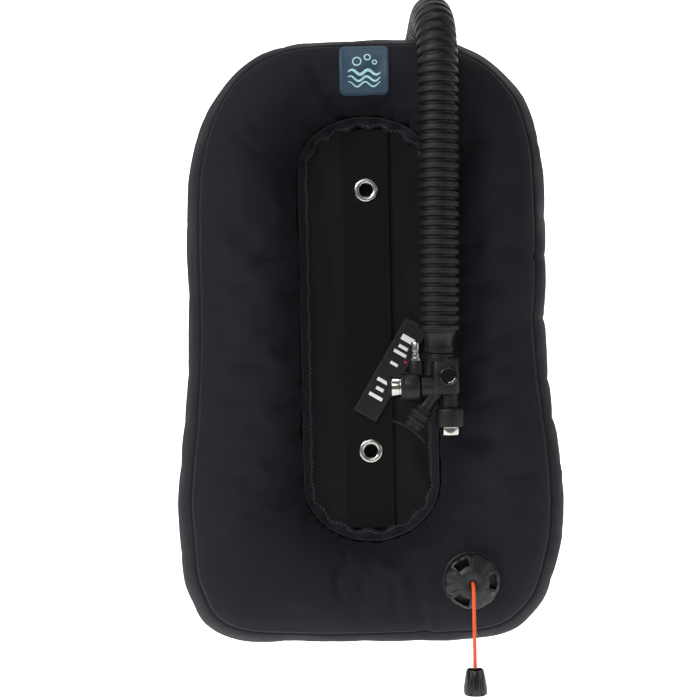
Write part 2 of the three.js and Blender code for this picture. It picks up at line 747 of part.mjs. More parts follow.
function addDeflateValve() {
  const top = deflateHousingTop;
  const bottom = top - deflateHousingLength;
  const seat = bottom + 12;
  const profile = [
    [deflateButtonRadius + gap, bottom],
    [deflateHousingRadius - 1.2, bottom],
    [deflateHousingRadius, bottom + 1.2],
    [deflateHousingRadius, top - 1.2],
    [deflateHousingRadius - 1.2, top],
    [stemRadius + gap, top],
    [stemRadius + gap, seat],
    [deflateButtonRadius + gap, seat],
    [deflateButtonRadius + gap, bottom],
  ];
  add("deflate_housing", turned(profile, "z"), plastic, bodyCentre(deflateMiddleX));
  const shoulder = bottom + 4.5;
  const button = turned(
    [
      [0, bottom - deflateProud],
      [deflateButtonRadius - 1, bottom - deflateProud],
      [deflateButtonRadius, bottom - deflateProud + 1],
      [deflateButtonRadius, shoulder],
      [stemRadius, shoulder],
      [stemRadius, top + 9],
      [0, top + 9],
    ],
    "z",
  );
  add("deflate_button", button, chrome, bodyCentre(deflateMiddleX));
  const seal = ring(stemRadius + gap, neckRadius - 3.2, top + 6, top + 7.8, "z");
  add("deflate_seal", seal, rubber, bodyCentre(deflateMiddleX));
  const coil = spring(6, 6, 1.2, shoulder + 1, seat - 1, "z");
  add("deflate_spring", coil, springSteel, bodyCentre(deflateMiddleX));
}

function addMouthpiece() {
  const bore = oralBore + 0.7;
  const socket = oralTube + gap;
  const sleeve = turned(
    [
      [socket, 14],
      [10, 14],
      [10, 20],
      [11.8, 20.8],
      [11.8, 24],
      [10, 25],
      [10, 28],
      [11.8, 29],
      [11.8, 32],
      [9.6, 33],
      [9.6, 41],
      [bore, 41],
      [bore, 20.4],
      [socket, 20.4],
      [socket, 14],
    ],
    "z",
  );
  const flange = new THREE.CylinderGeometry(1, 1, 3.2, 24).rotateX(Math.PI / 2);
  flange.scale(mouthpieceFlange / 2, 12, 1).translate(0, 0, 41);
  add("mouthpiece", alongOral(cut(join(sleeve, flange), rod(bore, 30, 50, "z"))), rubber);
}

// ---- Dump valve ----
function addDumpValve() {
  const face = valveFace; // the flange's back
  const front = face - valveFlangeThickness;
  const floor = face + 6;
  const neckEnd = valveInside + 6;
  const flange = [
    [valveSeatBore, floor + 2],
    [valveSeatBore, floor],
    [valveBore, floor],
    [valveBore, front],
    [valveFlange - 1, front],
    [valveFlange, front + 1],
    [valveFlange, face],
    [valveNeck, face],
    [valveNeck, neckEnd],
    [valveNeck - 2.5, neckEnd],
    [valveNeck - 2.5, floor + 2],
    [valveSeatBore, floor + 2],
  ];
  add("dump_flange", turned(flange, "y", valveSides), plastic, valveCentre);
  const inner = valveNeck + gap;
  const gasketEnd = valveInside + gasketThickness;
  add("dump_gasket", ring(inner, inner + 6, valveInside, gasketEnd, "y", valveSides), rubber, valveCentre);
  const nut = ring(inner, inner + 6.5, gasketEnd + gap, neckEnd - 0.5, "y", valveSides);
  add("dump_ring_nut", nut, plastic, valveCentre);

  const sealFront = floor - gap - 1.8;
  const seal = ring(valveSeatBore - 1.5, valveBore - 1, sealFront, floor - gap, "y");
  add("dump_seal", seal, rubber, valveCentre);
  const poppetFront = sealFront - gap - 2;
  add("dump_poppet", rod(valveBore - 1, poppetFront, sealFront - gap, "y"), plastic, valveCentre);

  const top = front - gap;
  const crown = top - capHeight;
  const dome = turned(
    [
      [capRadius - capWall, top],
      [capRadius, top],
      [capRadius, top - 7.5],
      [capRadius - 1.5, top - 10],
      [capRadius - 6.5, crown + 2.5],
      [capRadius - 12, crown + 0.7],
      [capCordHole + 2, crown],
      [capCordHole, crown + 0.8],
      [capCordHole, crown + capWall],
      [capRadius - 12, crown + 0.9 + capWall],
      [capRadius - 8, crown + 3.4 + capWall],
      [capRadius - capWall, top - 8],
      [capRadius - capWall, top],
    ],
    "y",
    24,
  );
  const slots = [0, 120, 240].map((angle) => {
    const slot = new THREE.BoxGeometry(9, 12, 4.4).translate(capRadius - 10.5, crown + 4, 0);
    return slot.rotateY(-radians(angle));
  });
  const notches = Array.from({ length: 12 }, (_, i) => {
    const notch = rod(3.2, crown - 1, top + 1, "y", 10).translate(capRadius + 2.2, 0, 0);
    return notch.rotateY((2 * Math.PI * (i + 0.5)) / 12);
  });
  add("dump_cap", cut(dome, ...slots, ...notches), plastic, valveCentre);
  const coilEnd = crown + 1.2 + capWall + 1;
  add("dump_spring", spring(6, 9.5, 1.2, coilEnd, poppetFront - 1, "y"), springSteel, valveCentre);
}

// The pull cord's centreline, chosen by hand: out of the cap's middle and straight down.
const cordRoute = [
  [99.7, -59, -269.8],
  [99.7, -67, -269.8],
  [99.7, -76, -269.8],
  [99.7, -80.5, -270.2],
  [99.7, -83.6, -271.9],
  [99.7, -85.4, -275],
  [99.7, -86, -279.5],
  [99.7, -86.2, -288],
  [99.7, -86.3, -300],
  [99.7, -86.3, -313],
  [99.7, -86.3, -327],
  [99.7, -86.3, -341],
  [99.7, -86.3, -355],
];

function addPullCord() {
  add("pull_cord", roundTube(cordRoute, cordDiameter / 2, 8, 24), orangeCord);
  const [x, y, z] = cordRoute.at(-1);
  const top = z - gap;
  const toggle = turned(
    [
      [0, top - toggleHeight],
      [toggleBottom - 1, top - toggleHeight],
      [toggleBottom, top - toggleHeight + 1],
      [toggleBottom, top - toggleHeight + 6],
      [toggleTop, top - 1.5],
      [toggleTop - 1.5, top],
      [0, top],
    ],
    "z",
  );
  add("pull_toggle", toggle, plastic, [x, y, 0]);
}

addShell();
addBladder();
addCentre();
addGrommet("upper", grommetSpacing / 2);
addGrommet("lower", -grommetSpacing / 2);
addBadge();
addTagStrap();
addZip();
addElbow();
addHose();
addHoseEnd();
addInflatorBody();
addInflateValve();
addDeflateValve();
addMouthpiece();
addDumpValve();
addPullCord();

export default part;
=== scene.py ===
"""Looks of an inflated donut-shaped diving wing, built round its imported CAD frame.

Metres, +Z towards the diver's head, and the diver's side faces -Y. The origin is in the middle of the front
face of the centre webbing, halfway between its two grommets.
"""

import logging
import math
from collections.abc import Iterable, Sequence
from dataclasses import dataclass, field
from enum import Enum
from functools import cache

import bmesh
import bpy
import numpy as np
from mathutils import Matrix, Vector, noise


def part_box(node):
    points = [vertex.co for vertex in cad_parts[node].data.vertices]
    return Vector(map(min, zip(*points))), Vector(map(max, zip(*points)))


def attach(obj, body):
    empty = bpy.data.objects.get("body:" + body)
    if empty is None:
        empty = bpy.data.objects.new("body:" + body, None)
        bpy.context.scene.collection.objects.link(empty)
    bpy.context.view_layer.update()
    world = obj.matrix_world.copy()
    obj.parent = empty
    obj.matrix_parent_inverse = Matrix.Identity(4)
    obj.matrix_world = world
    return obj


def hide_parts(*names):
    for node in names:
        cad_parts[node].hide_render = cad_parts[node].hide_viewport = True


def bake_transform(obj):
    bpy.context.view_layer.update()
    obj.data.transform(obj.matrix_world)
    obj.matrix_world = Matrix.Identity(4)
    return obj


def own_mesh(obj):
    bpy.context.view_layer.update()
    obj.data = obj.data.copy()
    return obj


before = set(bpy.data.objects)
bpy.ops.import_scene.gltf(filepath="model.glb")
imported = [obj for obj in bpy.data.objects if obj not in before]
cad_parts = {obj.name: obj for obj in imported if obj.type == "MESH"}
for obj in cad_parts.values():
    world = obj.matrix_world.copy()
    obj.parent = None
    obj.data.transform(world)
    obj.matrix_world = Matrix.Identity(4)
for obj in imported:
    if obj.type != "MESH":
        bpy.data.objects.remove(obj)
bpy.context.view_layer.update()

LOG = logging.getLogger("wing")
MM = 0.001
TAU = 2 * math.pi
UV_NAME = "cloth"
Point = tuple[float, float, float]
Array = np.ndarray
Shape = tuple[Array, Sequence[Sequence[int]]]
Profile = Sequence[tuple[float, float]]
Piece = bpy.types.Object
Tree = bpy.types.NodeTree
Node = bpy.types.Node
Socket = bpy.types.NodeSocket


class Body(Enum):
    """The rigid bodies that pieces ride on."""

    WING = "wing"
    INFLATOR = "inflator"
    INFLATE_BUTTON = "inflate_button"
    DEFLATE_BUTTON = "deflate_button"
    POPPET = "dump_poppet"
    TOGGLE = "pull_toggle"
    ZIP_SLIDER = "zip_slider"


class Axis(Enum):
    """Row axes that a turned piece can lie along, as the rotation that takes +Z there."""

    X = ((0.0, 1.0, 0.0), (0.0, 0.0, 1.0), (1.0, 0.0, 0.0))
    Y = ((1.0, 0.0, 0.0), (0.0, 0.0, -1.0), (0.0, 1.0, 0.0))
    Z = ((1.0, 0.0, 0.0), (0.0, 1.0, 0.0), (0.0, 0.0, 1.0))


# ---- meshes


def mesh_object(name: str, points: Array, faces: Sequence[Sequence[int]], smooth: bool = True) -> Piece:
    """Makes a mesh object in the scene.

    Args:
        name: the object's name.
        points: N by 3 vertex places in metres.
        faces: vertex indices of each face.
        smooth: whether the faces are shaded smooth.

    Returns:
        The new object.
    """
    mesh = bpy.data.meshes.new(name)
    mesh.from_pydata(np.asarray(points, float).tolist(), [], [list(map(int, f)) for f in faces])
    mesh.polygons.foreach_set("use_smooth", [smooth] * len(mesh.polygons))
    mesh.update()
    made = bpy.data.objects.new(name, mesh)
    bpy.context.scene.collection.objects.link(made)
    return made


def grid_faces(rows: int, cols: int, wrap_rows: bool = False, wrap_cols: bool = False) -> Array:
    """Quads of a grid of points stored row by row.

    Args:
        rows: how many rows of points there are.
        cols: how many points each row holds.
        wrap_rows: whether the last row joins the first.
        wrap_cols: whether the last point of a row joins its first.

    Returns:
        Four vertex indices for each quad.
    """
    i, j = np.meshgrid(
        np.arange(rows if wrap_rows else rows - 1), np.arange(cols if wrap_cols else cols - 1), indexing="ij"
    )
    i, j = i.ravel(), j.ravel()
    down, right = (i + 1) % rows, (j + 1) % cols
    return np.stack([i * cols + j, i * cols + right, down * cols + right, down * cols + j], 1)


def capped_faces(rows: int, cols: int) -> list[list[int]]:
    """Faces of a stack of rings stored one by one, with both ends closed."""
    ring = np.arange(cols)
    ends = [ring[::-1].tolist(), (ring + (rows - 1) * cols).tolist()]
    return grid_faces(rows, cols, False, True).tolist() + ends


def joined(parts: Iterable[Shape]) -> Shape:
    """Stacks several (points, faces) pairs into one pair."""
    points, faces, start = [], [], 0
    for more, quads in parts:
        points.append(np.asarray(more, float))
        faces += [[int(k) + start for k in face] for face in quads]
        start += len(more)
    return np.concatenate(points), faces


def turned(profile: Profile, segments: int = 72) -> Shape:
    """Turns a profile about +Z.

    Args:
        profile: (radius, height) pairs in millimetres. It is closed if its ends meet, and else it starts and
            ends on the axis.
        segments: how many steps go round.

    Returns:
        Points in metres and their faces.
    """
    closed = profile[0] == profile[-1]
    line = np.array(profile[:-1] if closed else profile, float) * MM
    angle = np.arange(segments) * TAU / segments
    radius, height = line[:, :1], np.repeat(line[:, 1:], segments, 1)
    points = np.stack([radius * np.cos(angle), radius * np.sin(angle), height], -1)
    return points.reshape(-1, 3), grid_faces(len(line), segments, closed, True).tolist()


def placed(shape: Shape, axis: Axis, centre: Point) -> Shape:
    """Lays a shape made along +Z along a row axis, with its zero at a point in metres."""
    points, faces = shape
    return points @ np.array(axis.value) + np.array(centre), faces


def tilted(shape: Shape, matrix: Matrix) -> Shape:
    """Moves a shape by a matrix in metres."""
    points, faces = shape
    m = np.array(matrix)
    return points @ m[:3, :3].T + m[:3, 3], faces


def tidy_ends(obj: Piece) -> None:
    """Merges points that coincide, as on a turned piece's axis, and turns the faces outward."""
    work = bmesh.new()
    work.from_mesh(obj.data)
    bmesh.ops.remove_doubles(work, verts=work.verts, dist=1e-6)
    bmesh.ops.dissolve_degenerate(work, edges=work.edges, dist=1e-7)
    bmesh.ops.recalc_face_normals(work, faces=work.faces)
    work.to_mesh(obj.data)
    work.free()


def add_modifier(obj: Piece, kind: str, **settings: object) -> bpy.types.Modifier:
    """Adds a modifier of a kind with its settings and returns it."""
    modifier = obj.modifiers.new(kind.lower(), kind)
    for key, value in settings.items():
        setattr(modifier, key, value)
    return modifier


def apply_modifiers(obj: Piece) -> None:
    """Bakes an object's modifiers into its mesh."""
    graph = bpy.context.evaluated_depsgraph_get()
    result = bpy.data.meshes.new_from_object(obj.evaluated_get(graph), depsgraph=graph)
    obj.modifiers.clear()
    old, obj.data = obj.data, result
    bpy.data.meshes.remove(old)


def soften_edges(obj: Piece, width: float) -> None:
    """Rounds an object's sharp edges, with a bevel of a width in millimetres."""
    sharp = math.radians(32)
    add_modifier(obj, "BEVEL", width=width * MM, segments=3, limit_method="ANGLE", angle_limit=sharp,
                 harden_normals=True)
    apply_modifiers(obj)


def split_edges(obj: Piece, angle: float) -> None:
    """Shades faces apart where they meet at more than an angle in degrees."""
    add_modifier(obj, "EDGE_SPLIT", split_angle=math.radians(angle))
    apply_modifiers(obj)


def face_along_y(obj: Piece, side: int) -> None:
    """Turns a sheet's faces so that most of them face -Y or +Y, by the sign of side."""
    if sum(p.normal.y * p.area for p in obj.data.polygons) * side < 0:
        obj.data.flip_normals()


def boolean_cut(obj: Piece, tool: Piece) -> None:
    """Cuts a tool object out of an object and removes the tool."""
    add_modifier(obj, "BOOLEAN", operation="DIFFERENCE", solver="EXACT", object=tool)
    apply_modifiers(obj)
    bpy.data.objects.remove(tool)


def set_uv(obj: Piece, uv: Array) -> None:
    """Gives a mesh the cloth map, from one (u, v) in metres for each vertex."""
    layer = obj.data.uv_layers.new(name=UV_NAME)
    index = np.zeros(len(obj.data.loops), int)
    obj.data.loops.foreach_get("vertex_index", index)
    layer.data.foreach_set("uv", np.asarray(uv, np.float32)[index].ravel())


def catmull(points: Sequence[Point], spacing: float) -> Array:
    """A smooth line through points.

    Args:
        points: the points in metres.
        spacing: the distance between the line's own points.

    Returns:
        Evenly spaced points, both ends included.
    """
    p = np.array(points, float)
    p = np.vstack([2 * p[0] - p[1], p, 2 * p[-1] - p[-2]])
    t = np.linspace(0, 1, 40, endpoint=False)[:, None]
    line = []
    for a, b, c, d in zip(p, p[1:], p[2:], p[3:]):
        line.append(
            0.5 * (2 * b + (c - a) * t + (2 * a - 5 * b + 4 * c - d) * t**2 + (3 * b - a - 3 * c + d) * t**3)
        )
    return resampled(np.vstack([*line, p[-2:-1]]), spacing)


def length_along(line: Array) -> Array:
    """How far each point of a line lies along it."""
    return np.concatenate([[0], np.cumsum(np.linalg.norm(np.diff(line, axis=0), axis=1))])


def resampled(line: Array, spacing: float, closed: bool = False) -> Array:
    """A line's points moved along it to lie evenly, about a spacing apart."""
    if closed:
        line = np.vstack([line, line[:1]])
    reach = length_along(line)
    count = max(2, round(reach[-1] / spacing) + 1)
    at = np.linspace(0, reach[-1], count)
    made = np.stack([np.interp(at, reach, line[:, k]) for k in range(3)], 1)
    return made[:-1] if closed else made


def tube(line: Array, radii: Array | float, sides: int, closed: bool = False) -> Shape:
    """A round tube along a line.

    Args:
        line: the centreline's points in metres.
        radii: the radius at each point, or one for all.
        sides: how many sides the tube has.
        closed: whether the line is a loop.

    Returns:
        Points and faces, with the ends closed unless the line is a loop.
    """
    ahead = np.roll(line, -1, 0) - np.roll(line, 1, 0)
    if not closed:
        ahead[0], ahead[-1] = line[1] - line[0], line[-1] - line[-2]
    ahead /= np.linalg.norm(ahead, axis=1)[:, None]
    seed = np.array([0.0, 1.0, 0.0]) if abs(ahead[0][1]) < 0.9 else np.array([1.0, 0.0, 0.0])
    sideways = np.zeros_like(line)
    for k, t in enumerate(ahead):
        seed = seed - t * (seed @ t)
        seed = seed / np.linalg.norm(seed)
        sideways[k] = seed
    other = np.cross(ahead, sideways)
    angle = np.arange(sides) * TAU / sides
    r = np.broadcast_to(np.asarray(radii, float), (len(line),))[:, None, None]
    points = line[:, None] + r * (
        np.cos(angle)[None, :, None] * sideways[:, None] + np.sin(angle)[None, :, None] * other[:, None]
    )
    faces = grid_faces(len(line), sides, True, True).tolist() if closed else capped_faces(len(line), sides)
    return points.reshape(-1, 3), faces


def smoothstep(low: float, high: float, value: Array | float) -> Array:
    """The smooth step from 0 at low to 1 at high."""
    t = np.clip((np.asarray(value, float) - low) / (high - low), 0, 1)
    return t * t * (3 - 2 * t)


def noise_at(points: Array, scale: float, seed: float = 0.0) -> Array:
    """Smooth noise about zero at points, with features about 1/scale metres across."""
    shift = Vector((seed * 3.7, seed * 1.3, seed * 7.1))
    return np.array([noise.noise(Vector(p) * scale + shift) for p in points])


# ---- finishes


def new_node(tree: Tree, kind: str, values: dict[str, object] | None = None, **settings: object) -> Node:
    """Adds a shader node.

    Args:
        tree: the node tree that it joins.
        kind: the node's type, without ShaderNode before it.
        values: what its named inputs are set to.
        settings: the node's own properties, set before its inputs.

    Returns:
        The node.
    """
    node = tree.nodes.new(f"ShaderNode{kind}")
    for key, value in settings.items():
        setattr(node, key, value)
    for key, value in (values or {}).items():
        node.inputs[key].default_value = value
    return node


class Sheets:
    """Shader node groups shared by the finishes. Each is built once and puts out values that vary."""

    @staticmethod
    def start(name: str, inputs: dict[str, float], outputs: Sequence[str]) -> tuple:
        """Opens a new group.

        Args:
            name: the group's name.
            inputs: the named number sockets with their defaults.
            outputs: the names of the number outputs.

        Returns:
            The group, its input node and its output node.
        """
        tree = bpy.data.node_groups.new(name, "ShaderNodeTree")
        for key, value in inputs.items():
            socket = tree.interface.new_socket(key, in_out="INPUT", socket_type="NodeSocketFloat")
            socket.default_value = value
        for key in outputs:
            tree.interface.new_socket(key, in_out="OUTPUT", socket_type="NodeSocketFloat")
        return tree, tree.nodes.new("NodeGroupInput"), tree.nodes.new("NodeGroupOutput")

    @staticmethod
    def math(tree: Tree, operation: str, *values: object) -> Socket:
        """A Math node fed by sockets or numbers, and its output."""
        node = new_node(tree, "Math", operation=operation)
        for slot_in, value in zip(node.inputs, values):
            if isinstance(value, (int, float)):
                slot_in.default_value = value
            else:
                tree.links.new(value, slot_in)
        return node.outputs[0]

    @staticmethod
    def map_lengths(tree: Tree) -> tuple[Socket, Socket]:
        """The cloth map's two lengths."""
        split = new_node(tree, "SeparateXYZ")
        tree.links.new(new_node(tree, "UVMap", uv_map=UV_NAME).outputs[0], split.inputs[0])
        return split.outputs[0], split.outputs[1]

    @staticmethod
    def cloud(tree: Tree, detail: float) -> Node:
        """A noise over the object's own places."""
        node = new_node(tree, "TexNoise", {"Detail": detail})
        tree.links.new(new_node(tree, "TexCoord").outputs["Object"], node.inputs["Vector"])
        return node

    @classmethod
    @cache
    def weave(cls) -> Tree:
        """Plain weave over the cloth map: a height that rises on each thread's crossing, and a slub mask."""
        tree, given, out = cls.start("weave", {"Pitch": 0.0009, "Slub": 0.3}, ["Height", "Mask"])
        turns = cls.math(tree, "DIVIDE", math.pi, given.outputs["Pitch"])
        warp, weft = (cls.math(tree, "SINE", cls.math(tree, "MULTIPLY", way, turns)) for way in cls.map_lengths(tree))
        cross = cls.math(tree, "MULTIPLY", warp, weft)
        cloud = cls.cloud(tree, 3.0)
        cloud.inputs["Scale"].default_value = 900.0
        slub = cls.math(tree, "MULTIPLY", cloud.outputs[0], given.outputs["Slub"])
        tree.links.new(cls.math(tree, "MULTIPLY_ADD", cross, 0.5, slub), out.inputs["Height"])
        tree.links.new(cls.math(tree, "MULTIPLY_ADD", cross, 0.5, 0.5), out.inputs["Mask"])
        return tree

    @classmethod
    @cache
    def mottle(cls) -> Tree:
        """Slow and fast colour variation: a broad cloud and fine lint, each from 0 to 1."""
        tree, given, out = cls.start("mottle", {"Broad": 14.0, "Fine": 700.0}, ["Cloud", "Lint"])
        for key, output, detail in (("Broad", "Cloud", 4.0), ("Fine", "Lint", 2.0)):
            cloud = cls.cloud(tree, detail)
            tree.links.new(given.outputs[key], cloud.inputs["Scale"])
            tree.links.new(cloud.outputs[0], out.inputs[output])
        return tree

    @classmethod
    @cache
    def ribs(cls) -> Tree:
        """Weft ribs across a tape's cloth map, as a height."""
        tree, given, out = cls.start("ribs", {"Pitch": 0.0021, "Thread": 0.0008}, ["Height"])
        across, along = cls.map_lengths(tree)
        rib = cls.math(tree, "MULTIPLY", along, cls.math(tree, "DIVIDE", TAU, given.outputs["Pitch"]))
        thread = cls.math(tree, "MULTIPLY", across, cls.math(tree, "DIVIDE", TAU, given.outputs["Thread"]))
        fine = cls.math(tree, "MULTIPLY", cls.math(tree, "SINE", thread), 0.3)
        tree.links.new(cls.math(tree, "ADD", cls.math(tree, "SINE", rib), fine), out.inputs["Height"])
        return tree


Colour = tuple[float, float, float]


@dataclass(frozen=True)
class Finish:
    """A finish with a mottled colour, a roughness that wanders, and a fine grain.

    dark and light are the colour's ends, rough its roughness, and grain_height the bump's depth in metres.
    """

    name: str
    slot: str
    dark: Colour
    light: Colour
    rough: tuple[float, float] = (0.5, 0.6)
    metallic: float = 0.0
    grain_scale: float = 900.0
    grain_height: float = 0.00004
    sheen: float = 0.0
    specular: float = 0.5
    broad: float = 14.0

    def material(self) -> bpy.types.Material:
        """The Blender material, made the first time that it is asked for."""
        found = bpy.data.materials.get(self.name)
        return found or self.build()

    def build(self) -> bpy.types.Material:
        """Makes the material's nodes.

        Returns:
            The new material.
        """
        made = bpy.data.materials.new(self.name)
        made.use_nodes = True
        tree = made.node_tree
        shader = tree.nodes["Principled BSDF"]
        for key, value in (("Metallic", self.metallic), ("Sheen Weight", self.sheen), ("Sheen Roughness", 0.4),
                           ("Specular IOR Level", self.specular)):
            shader.inputs[key].default_value = value
        scales = {"Broad": self.broad, "Fine": self.grain_scale}
        mottle = new_node(tree, "Group", scales, node_tree=Sheets.mottle())
        ramp = new_node(tree, "Mix", {"A": (*self.dark, 1), "B": (*self.light, 1)}, data_type="RGBA")
        tree.links.new(self.colour_mask(tree, mottle), ramp.inputs["Factor"])
        tree.links.new(ramp.outputs["Result"], shader.inputs["Base Color"])
        low, high = self.rough
        rough = new_node(tree, "MapRange", {"From Min": 0.3, "From Max": 0.7, "To Min": low, "To Max": high})
        tree.links.new(mottle.outputs["Cloud"], rough.inputs["Value"])
        tree.links.new(rough.outputs["Result"], shader.inputs["Roughness"])
        bump = new_node(tree, "Bump", {"Distance": self.grain_height})
        tree.links.new(self.height(tree, mottle), bump.inputs["Height"])
        tree.links.new(bump.outputs["Normal"], shader.inputs["Normal"])
        return made

    def colour_mask(self, tree: Tree, mottle: Node) -> Socket:
        """Where the colour runs from dark to light."""
        return mottle.outputs["Cloud"]

    def height(self, tree: Tree, mottle: Node) -> Socket:
        """The height that the grain's bump follows."""
        return mottle.outputs["Lint"]


@dataclass(frozen=True)
class Cloth(Finish):
    """Woven fabric, whose threads show in its height and its colour."""

    pitch: float = 0.0009
    slub: float = 0.5

    def colour_mask(self, tree: Tree, mottle: Node) -> Socket:
        """Threads over the slow clouds."""
        weave = self.weave_node(tree)
        both = Sheets.math(tree, "MULTIPLY_ADD", weave.outputs["Mask"], 0.35, -0.35)
        lint = Sheets.math(tree, "MULTIPLY_ADD", mottle.outputs["Lint"], 1.1, both)
        return Sheets.math(tree, "MULTIPLY_ADD", mottle.outputs["Cloud"], 0.35, lint)

    def height(self, tree: Tree, mottle: Node) -> Socket:
        """The weave's own height."""
        return self.weave_node(tree).outputs["Height"]

    def weave_node(self, tree: Tree) -> Node:
        """The weave group in this material, added once."""
        found = tree.nodes.get("weave")
        if found:
            return found
        return new_node(tree, "Group", {"Pitch": self.pitch, "Slub": self.slub}, name="weave",
                        node_tree=Sheets.weave())


@dataclass(frozen=True)
class Tape(Finish):
    """Ribbed tape and webbing, with painted shade in the hollows between the ribs."""

    pitch: float = 0.0021
    thread: float = 0.0008

    def colour_mask(self, tree: Tree, mottle: Node) -> Socket:
        """Painted shade: dark in the hollows between the ribs and lighter on their crowns, over the slow clouds."""
        # painted shade: the colour follows the rib height, dark in the hollows and light on the crowns
        ribs = Sheets.math(tree, "MULTIPLY_ADD", self.height(tree, mottle), 0.36, 0.15)
        return Sheets.math(tree, "MULTIPLY_ADD", mottle.outputs["Cloud"], 0.5, ribs)

    def height(self, tree: Tree, mottle: Node) -> Socket:
        """The ribs of the weft."""
        sizes = {"Pitch": self.pitch, "Thread": self.thread}
        return new_node(tree, "Group", sizes, node_tree=Sheets.ribs()).outputs["Height"]


CORDURA = Cloth(
    "cordura", "shell_fabric", (0.0012, 0.0012, 0.0024), (0.0140, 0.0140, 0.0205), (0.64, 0.8), sheen=0.02,
    grain_height=0.00022, specular=0.16,
)
LINING = Cloth(
    "lining_cloth", "shell_fabric", (0.0012, 0.0012, 0.0015), (0.0060, 0.0060, 0.0075), (0.5, 0.66), sheen=0.01,
    grain_height=0.0001, specular=0.14, pitch=0.0007,
)
WEBBING = Tape(
    "webbing_weave", "webbing", (0.0006, 0.0006, 0.0007), (0.0100, 0.0100, 0.0104), (0.6, 0.72), sheen=0.01,
    grain_height=0.0003, specular=0.13,
)
GROSGRAIN = Tape(
    "grosgrain", "binding_tape", (0.0035, 0.0035, 0.004), (0.0105, 0.0105, 0.012), (0.5, 0.65), sheen=0.02,
    grain_height=0.00015, specular=0.3, pitch=0.0013, thread=0.0006,
)
THREAD = Finish("sewing_thread", "binding_tape", (0.03, 0.03, 0.033), (0.10, 0.10, 0.105), (0.4, 0.55))
DARK_THREAD = Finish("dark_thread", "binding_tape", (0.004, 0.004, 0.005), (0.014, 0.014, 0.016), (0.5, 0.6))
STEEL = Finish("stainless_steel", "stainless", (0.42, 0.41, 0.39), (0.60, 0.59, 0.56), (0.2, 0.3), 1.0,
               grain_height=0.000008)
CHROME = Finish("chrome_plate", "chrome", (0.46, 0.43, 0.40), (0.60, 0.57, 0.53), (0.10, 0.18), 1.0,
                grain_height=0.000004)
RUBBER_HOSE = Finish("hose_rubber_gloss", "hose_rubber", (0.004, 0.004, 0.0042), (0.009, 0.009, 0.0095),
                     (0.42, 0.54), grain_scale=1500, grain_height=0.00002, specular=0.3)
GLOSS_DISC = Finish("gloss_disc", "black_plastic", (0.0015, 0.0015, 0.0016), (0.003, 0.003, 0.0032),
                    (0.12, 0.2), grain_scale=1500, grain_height=0.00001)
TOGGLE_GLOSS = Finish("toggle_gloss", "valve_plastic", (0.003, 0.003, 0.0033), (0.007, 0.007, 0.0075),
                      (0.2, 0.3), grain_scale=1500, grain_height=0.00002)
MOULDED = Finish("moulded_plastic", "black_plastic", (0.004, 0.004, 0.0043), (0.009, 0.009, 0.0095),
                 (0.38, 0.52), grain_scale=1800, grain_height=0.00003, specular=0.3)
VALVE_MOULDED = Finish("valve_plastic_satin", "valve_plastic", (0.006, 0.006, 0.0068), (0.013, 0.013, 0.0145),
                       (0.34, 0.46), grain_scale=1800, grain_height=0.00003, specular=0.38)
SOFT_RUBBER = Finish("soft_rubber_matte", "soft_rubber", (0.003, 0.003, 0.0033), (0.008, 0.008, 0.0085),
                     (0.55, 0.68), grain_scale=1300, grain_height=0.00003, specular=0.3)
BADGE_BLUE = Finish("badge_blue", "badge_rubber", (0.014, 0.040, 0.072), (0.022, 0.058, 0.098), (0.5, 0.62),
                    grain_scale=1400, grain_height=0.00004)
BADGE_LIGHT = Finish("badge_light", "badge_rubber", (0.36, 0.66, 0.70), (0.50, 0.80, 0.82), (0.45, 0.55))
PRINT_WHITE = Finish("print_white", "binding_tape", (0.72, 0.72, 0.72), (0.84, 0.84, 0.84), (0.5, 0.6))
LABEL_RED = Finish("label_red", "binding_tape", (0.40, 0.01, 0.04), (0.50, 0.02, 0.06), (0.5, 0.6))
BRAID = Finish("orange_braid", "pull_cord", (0.62, 0.055, 0.008), (0.88, 0.115, 0.015), (0.5, 0.65),
               grain_scale=1600, grain_height=0.0001, broad=300.0)
SPRING = Finish("spring_wire", "spring_steel", (0.42, 0.42, 0.42), (0.58, 0.58, 0.58), (0.25, 0.35), 1.0)


def dress(obj: Piece, finish: Finish, body: Body | None = Body.WING, stands_for: Sequence[str] = ()) -> Piece:
    """Gives a new piece its finish, its body and the CAD nodes that it stands for.

    Args:
        obj: the piece, in place.
        finish: its finish.
        body: the body it rides on, or None where it is blended between two later.
        stands_for: the CAD nodes that it replaces.

    Returns:
        The piece.
    """
    obj.data.materials.clear()
    obj.data.materials.append(finish.material())
    if body:
        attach(obj, body.value)
    if stands_for:
        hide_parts(*stands_for)
    LOG.info("%s: %d faces, %s", obj.name, len(obj.data.polygons), finish.name)
    return obj


def finish_nodes(finishes: dict[str, Finish]) -> None:
    """Gives CAD nodes that stay shown their finishes."""
    for name, finish in finishes.items():
        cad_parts[name].data.materials.clear()
        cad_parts[name].data.materials.append(finish.material())


def solid_piece(
    name: str, shape: Shape, finish: Finish, body: Body, stands_for: Sequence[str] = (), edge: float = 0.0,
    smooth: bool = True,
) -> Piece:
    """A closed piece, dressed.

    Args:
        name: the piece's name.
        shape: its points in metres and its faces.
        finish: its finish.
        body: the body that it rides on.
        stands_for: the CAD nodes that it replaces.
        edge: the width of its rounded edges in millimetres, or 0 to leave them.
        smooth: whether its faces are shaded smooth.

    Returns:
        The piece.
    """
    obj = mesh_object(name, *shape, smooth=smooth)
    tidy_ends(obj)
    if edge:
        soften_edges(obj, edge)
    return dress(obj, finish, body, stands_for)


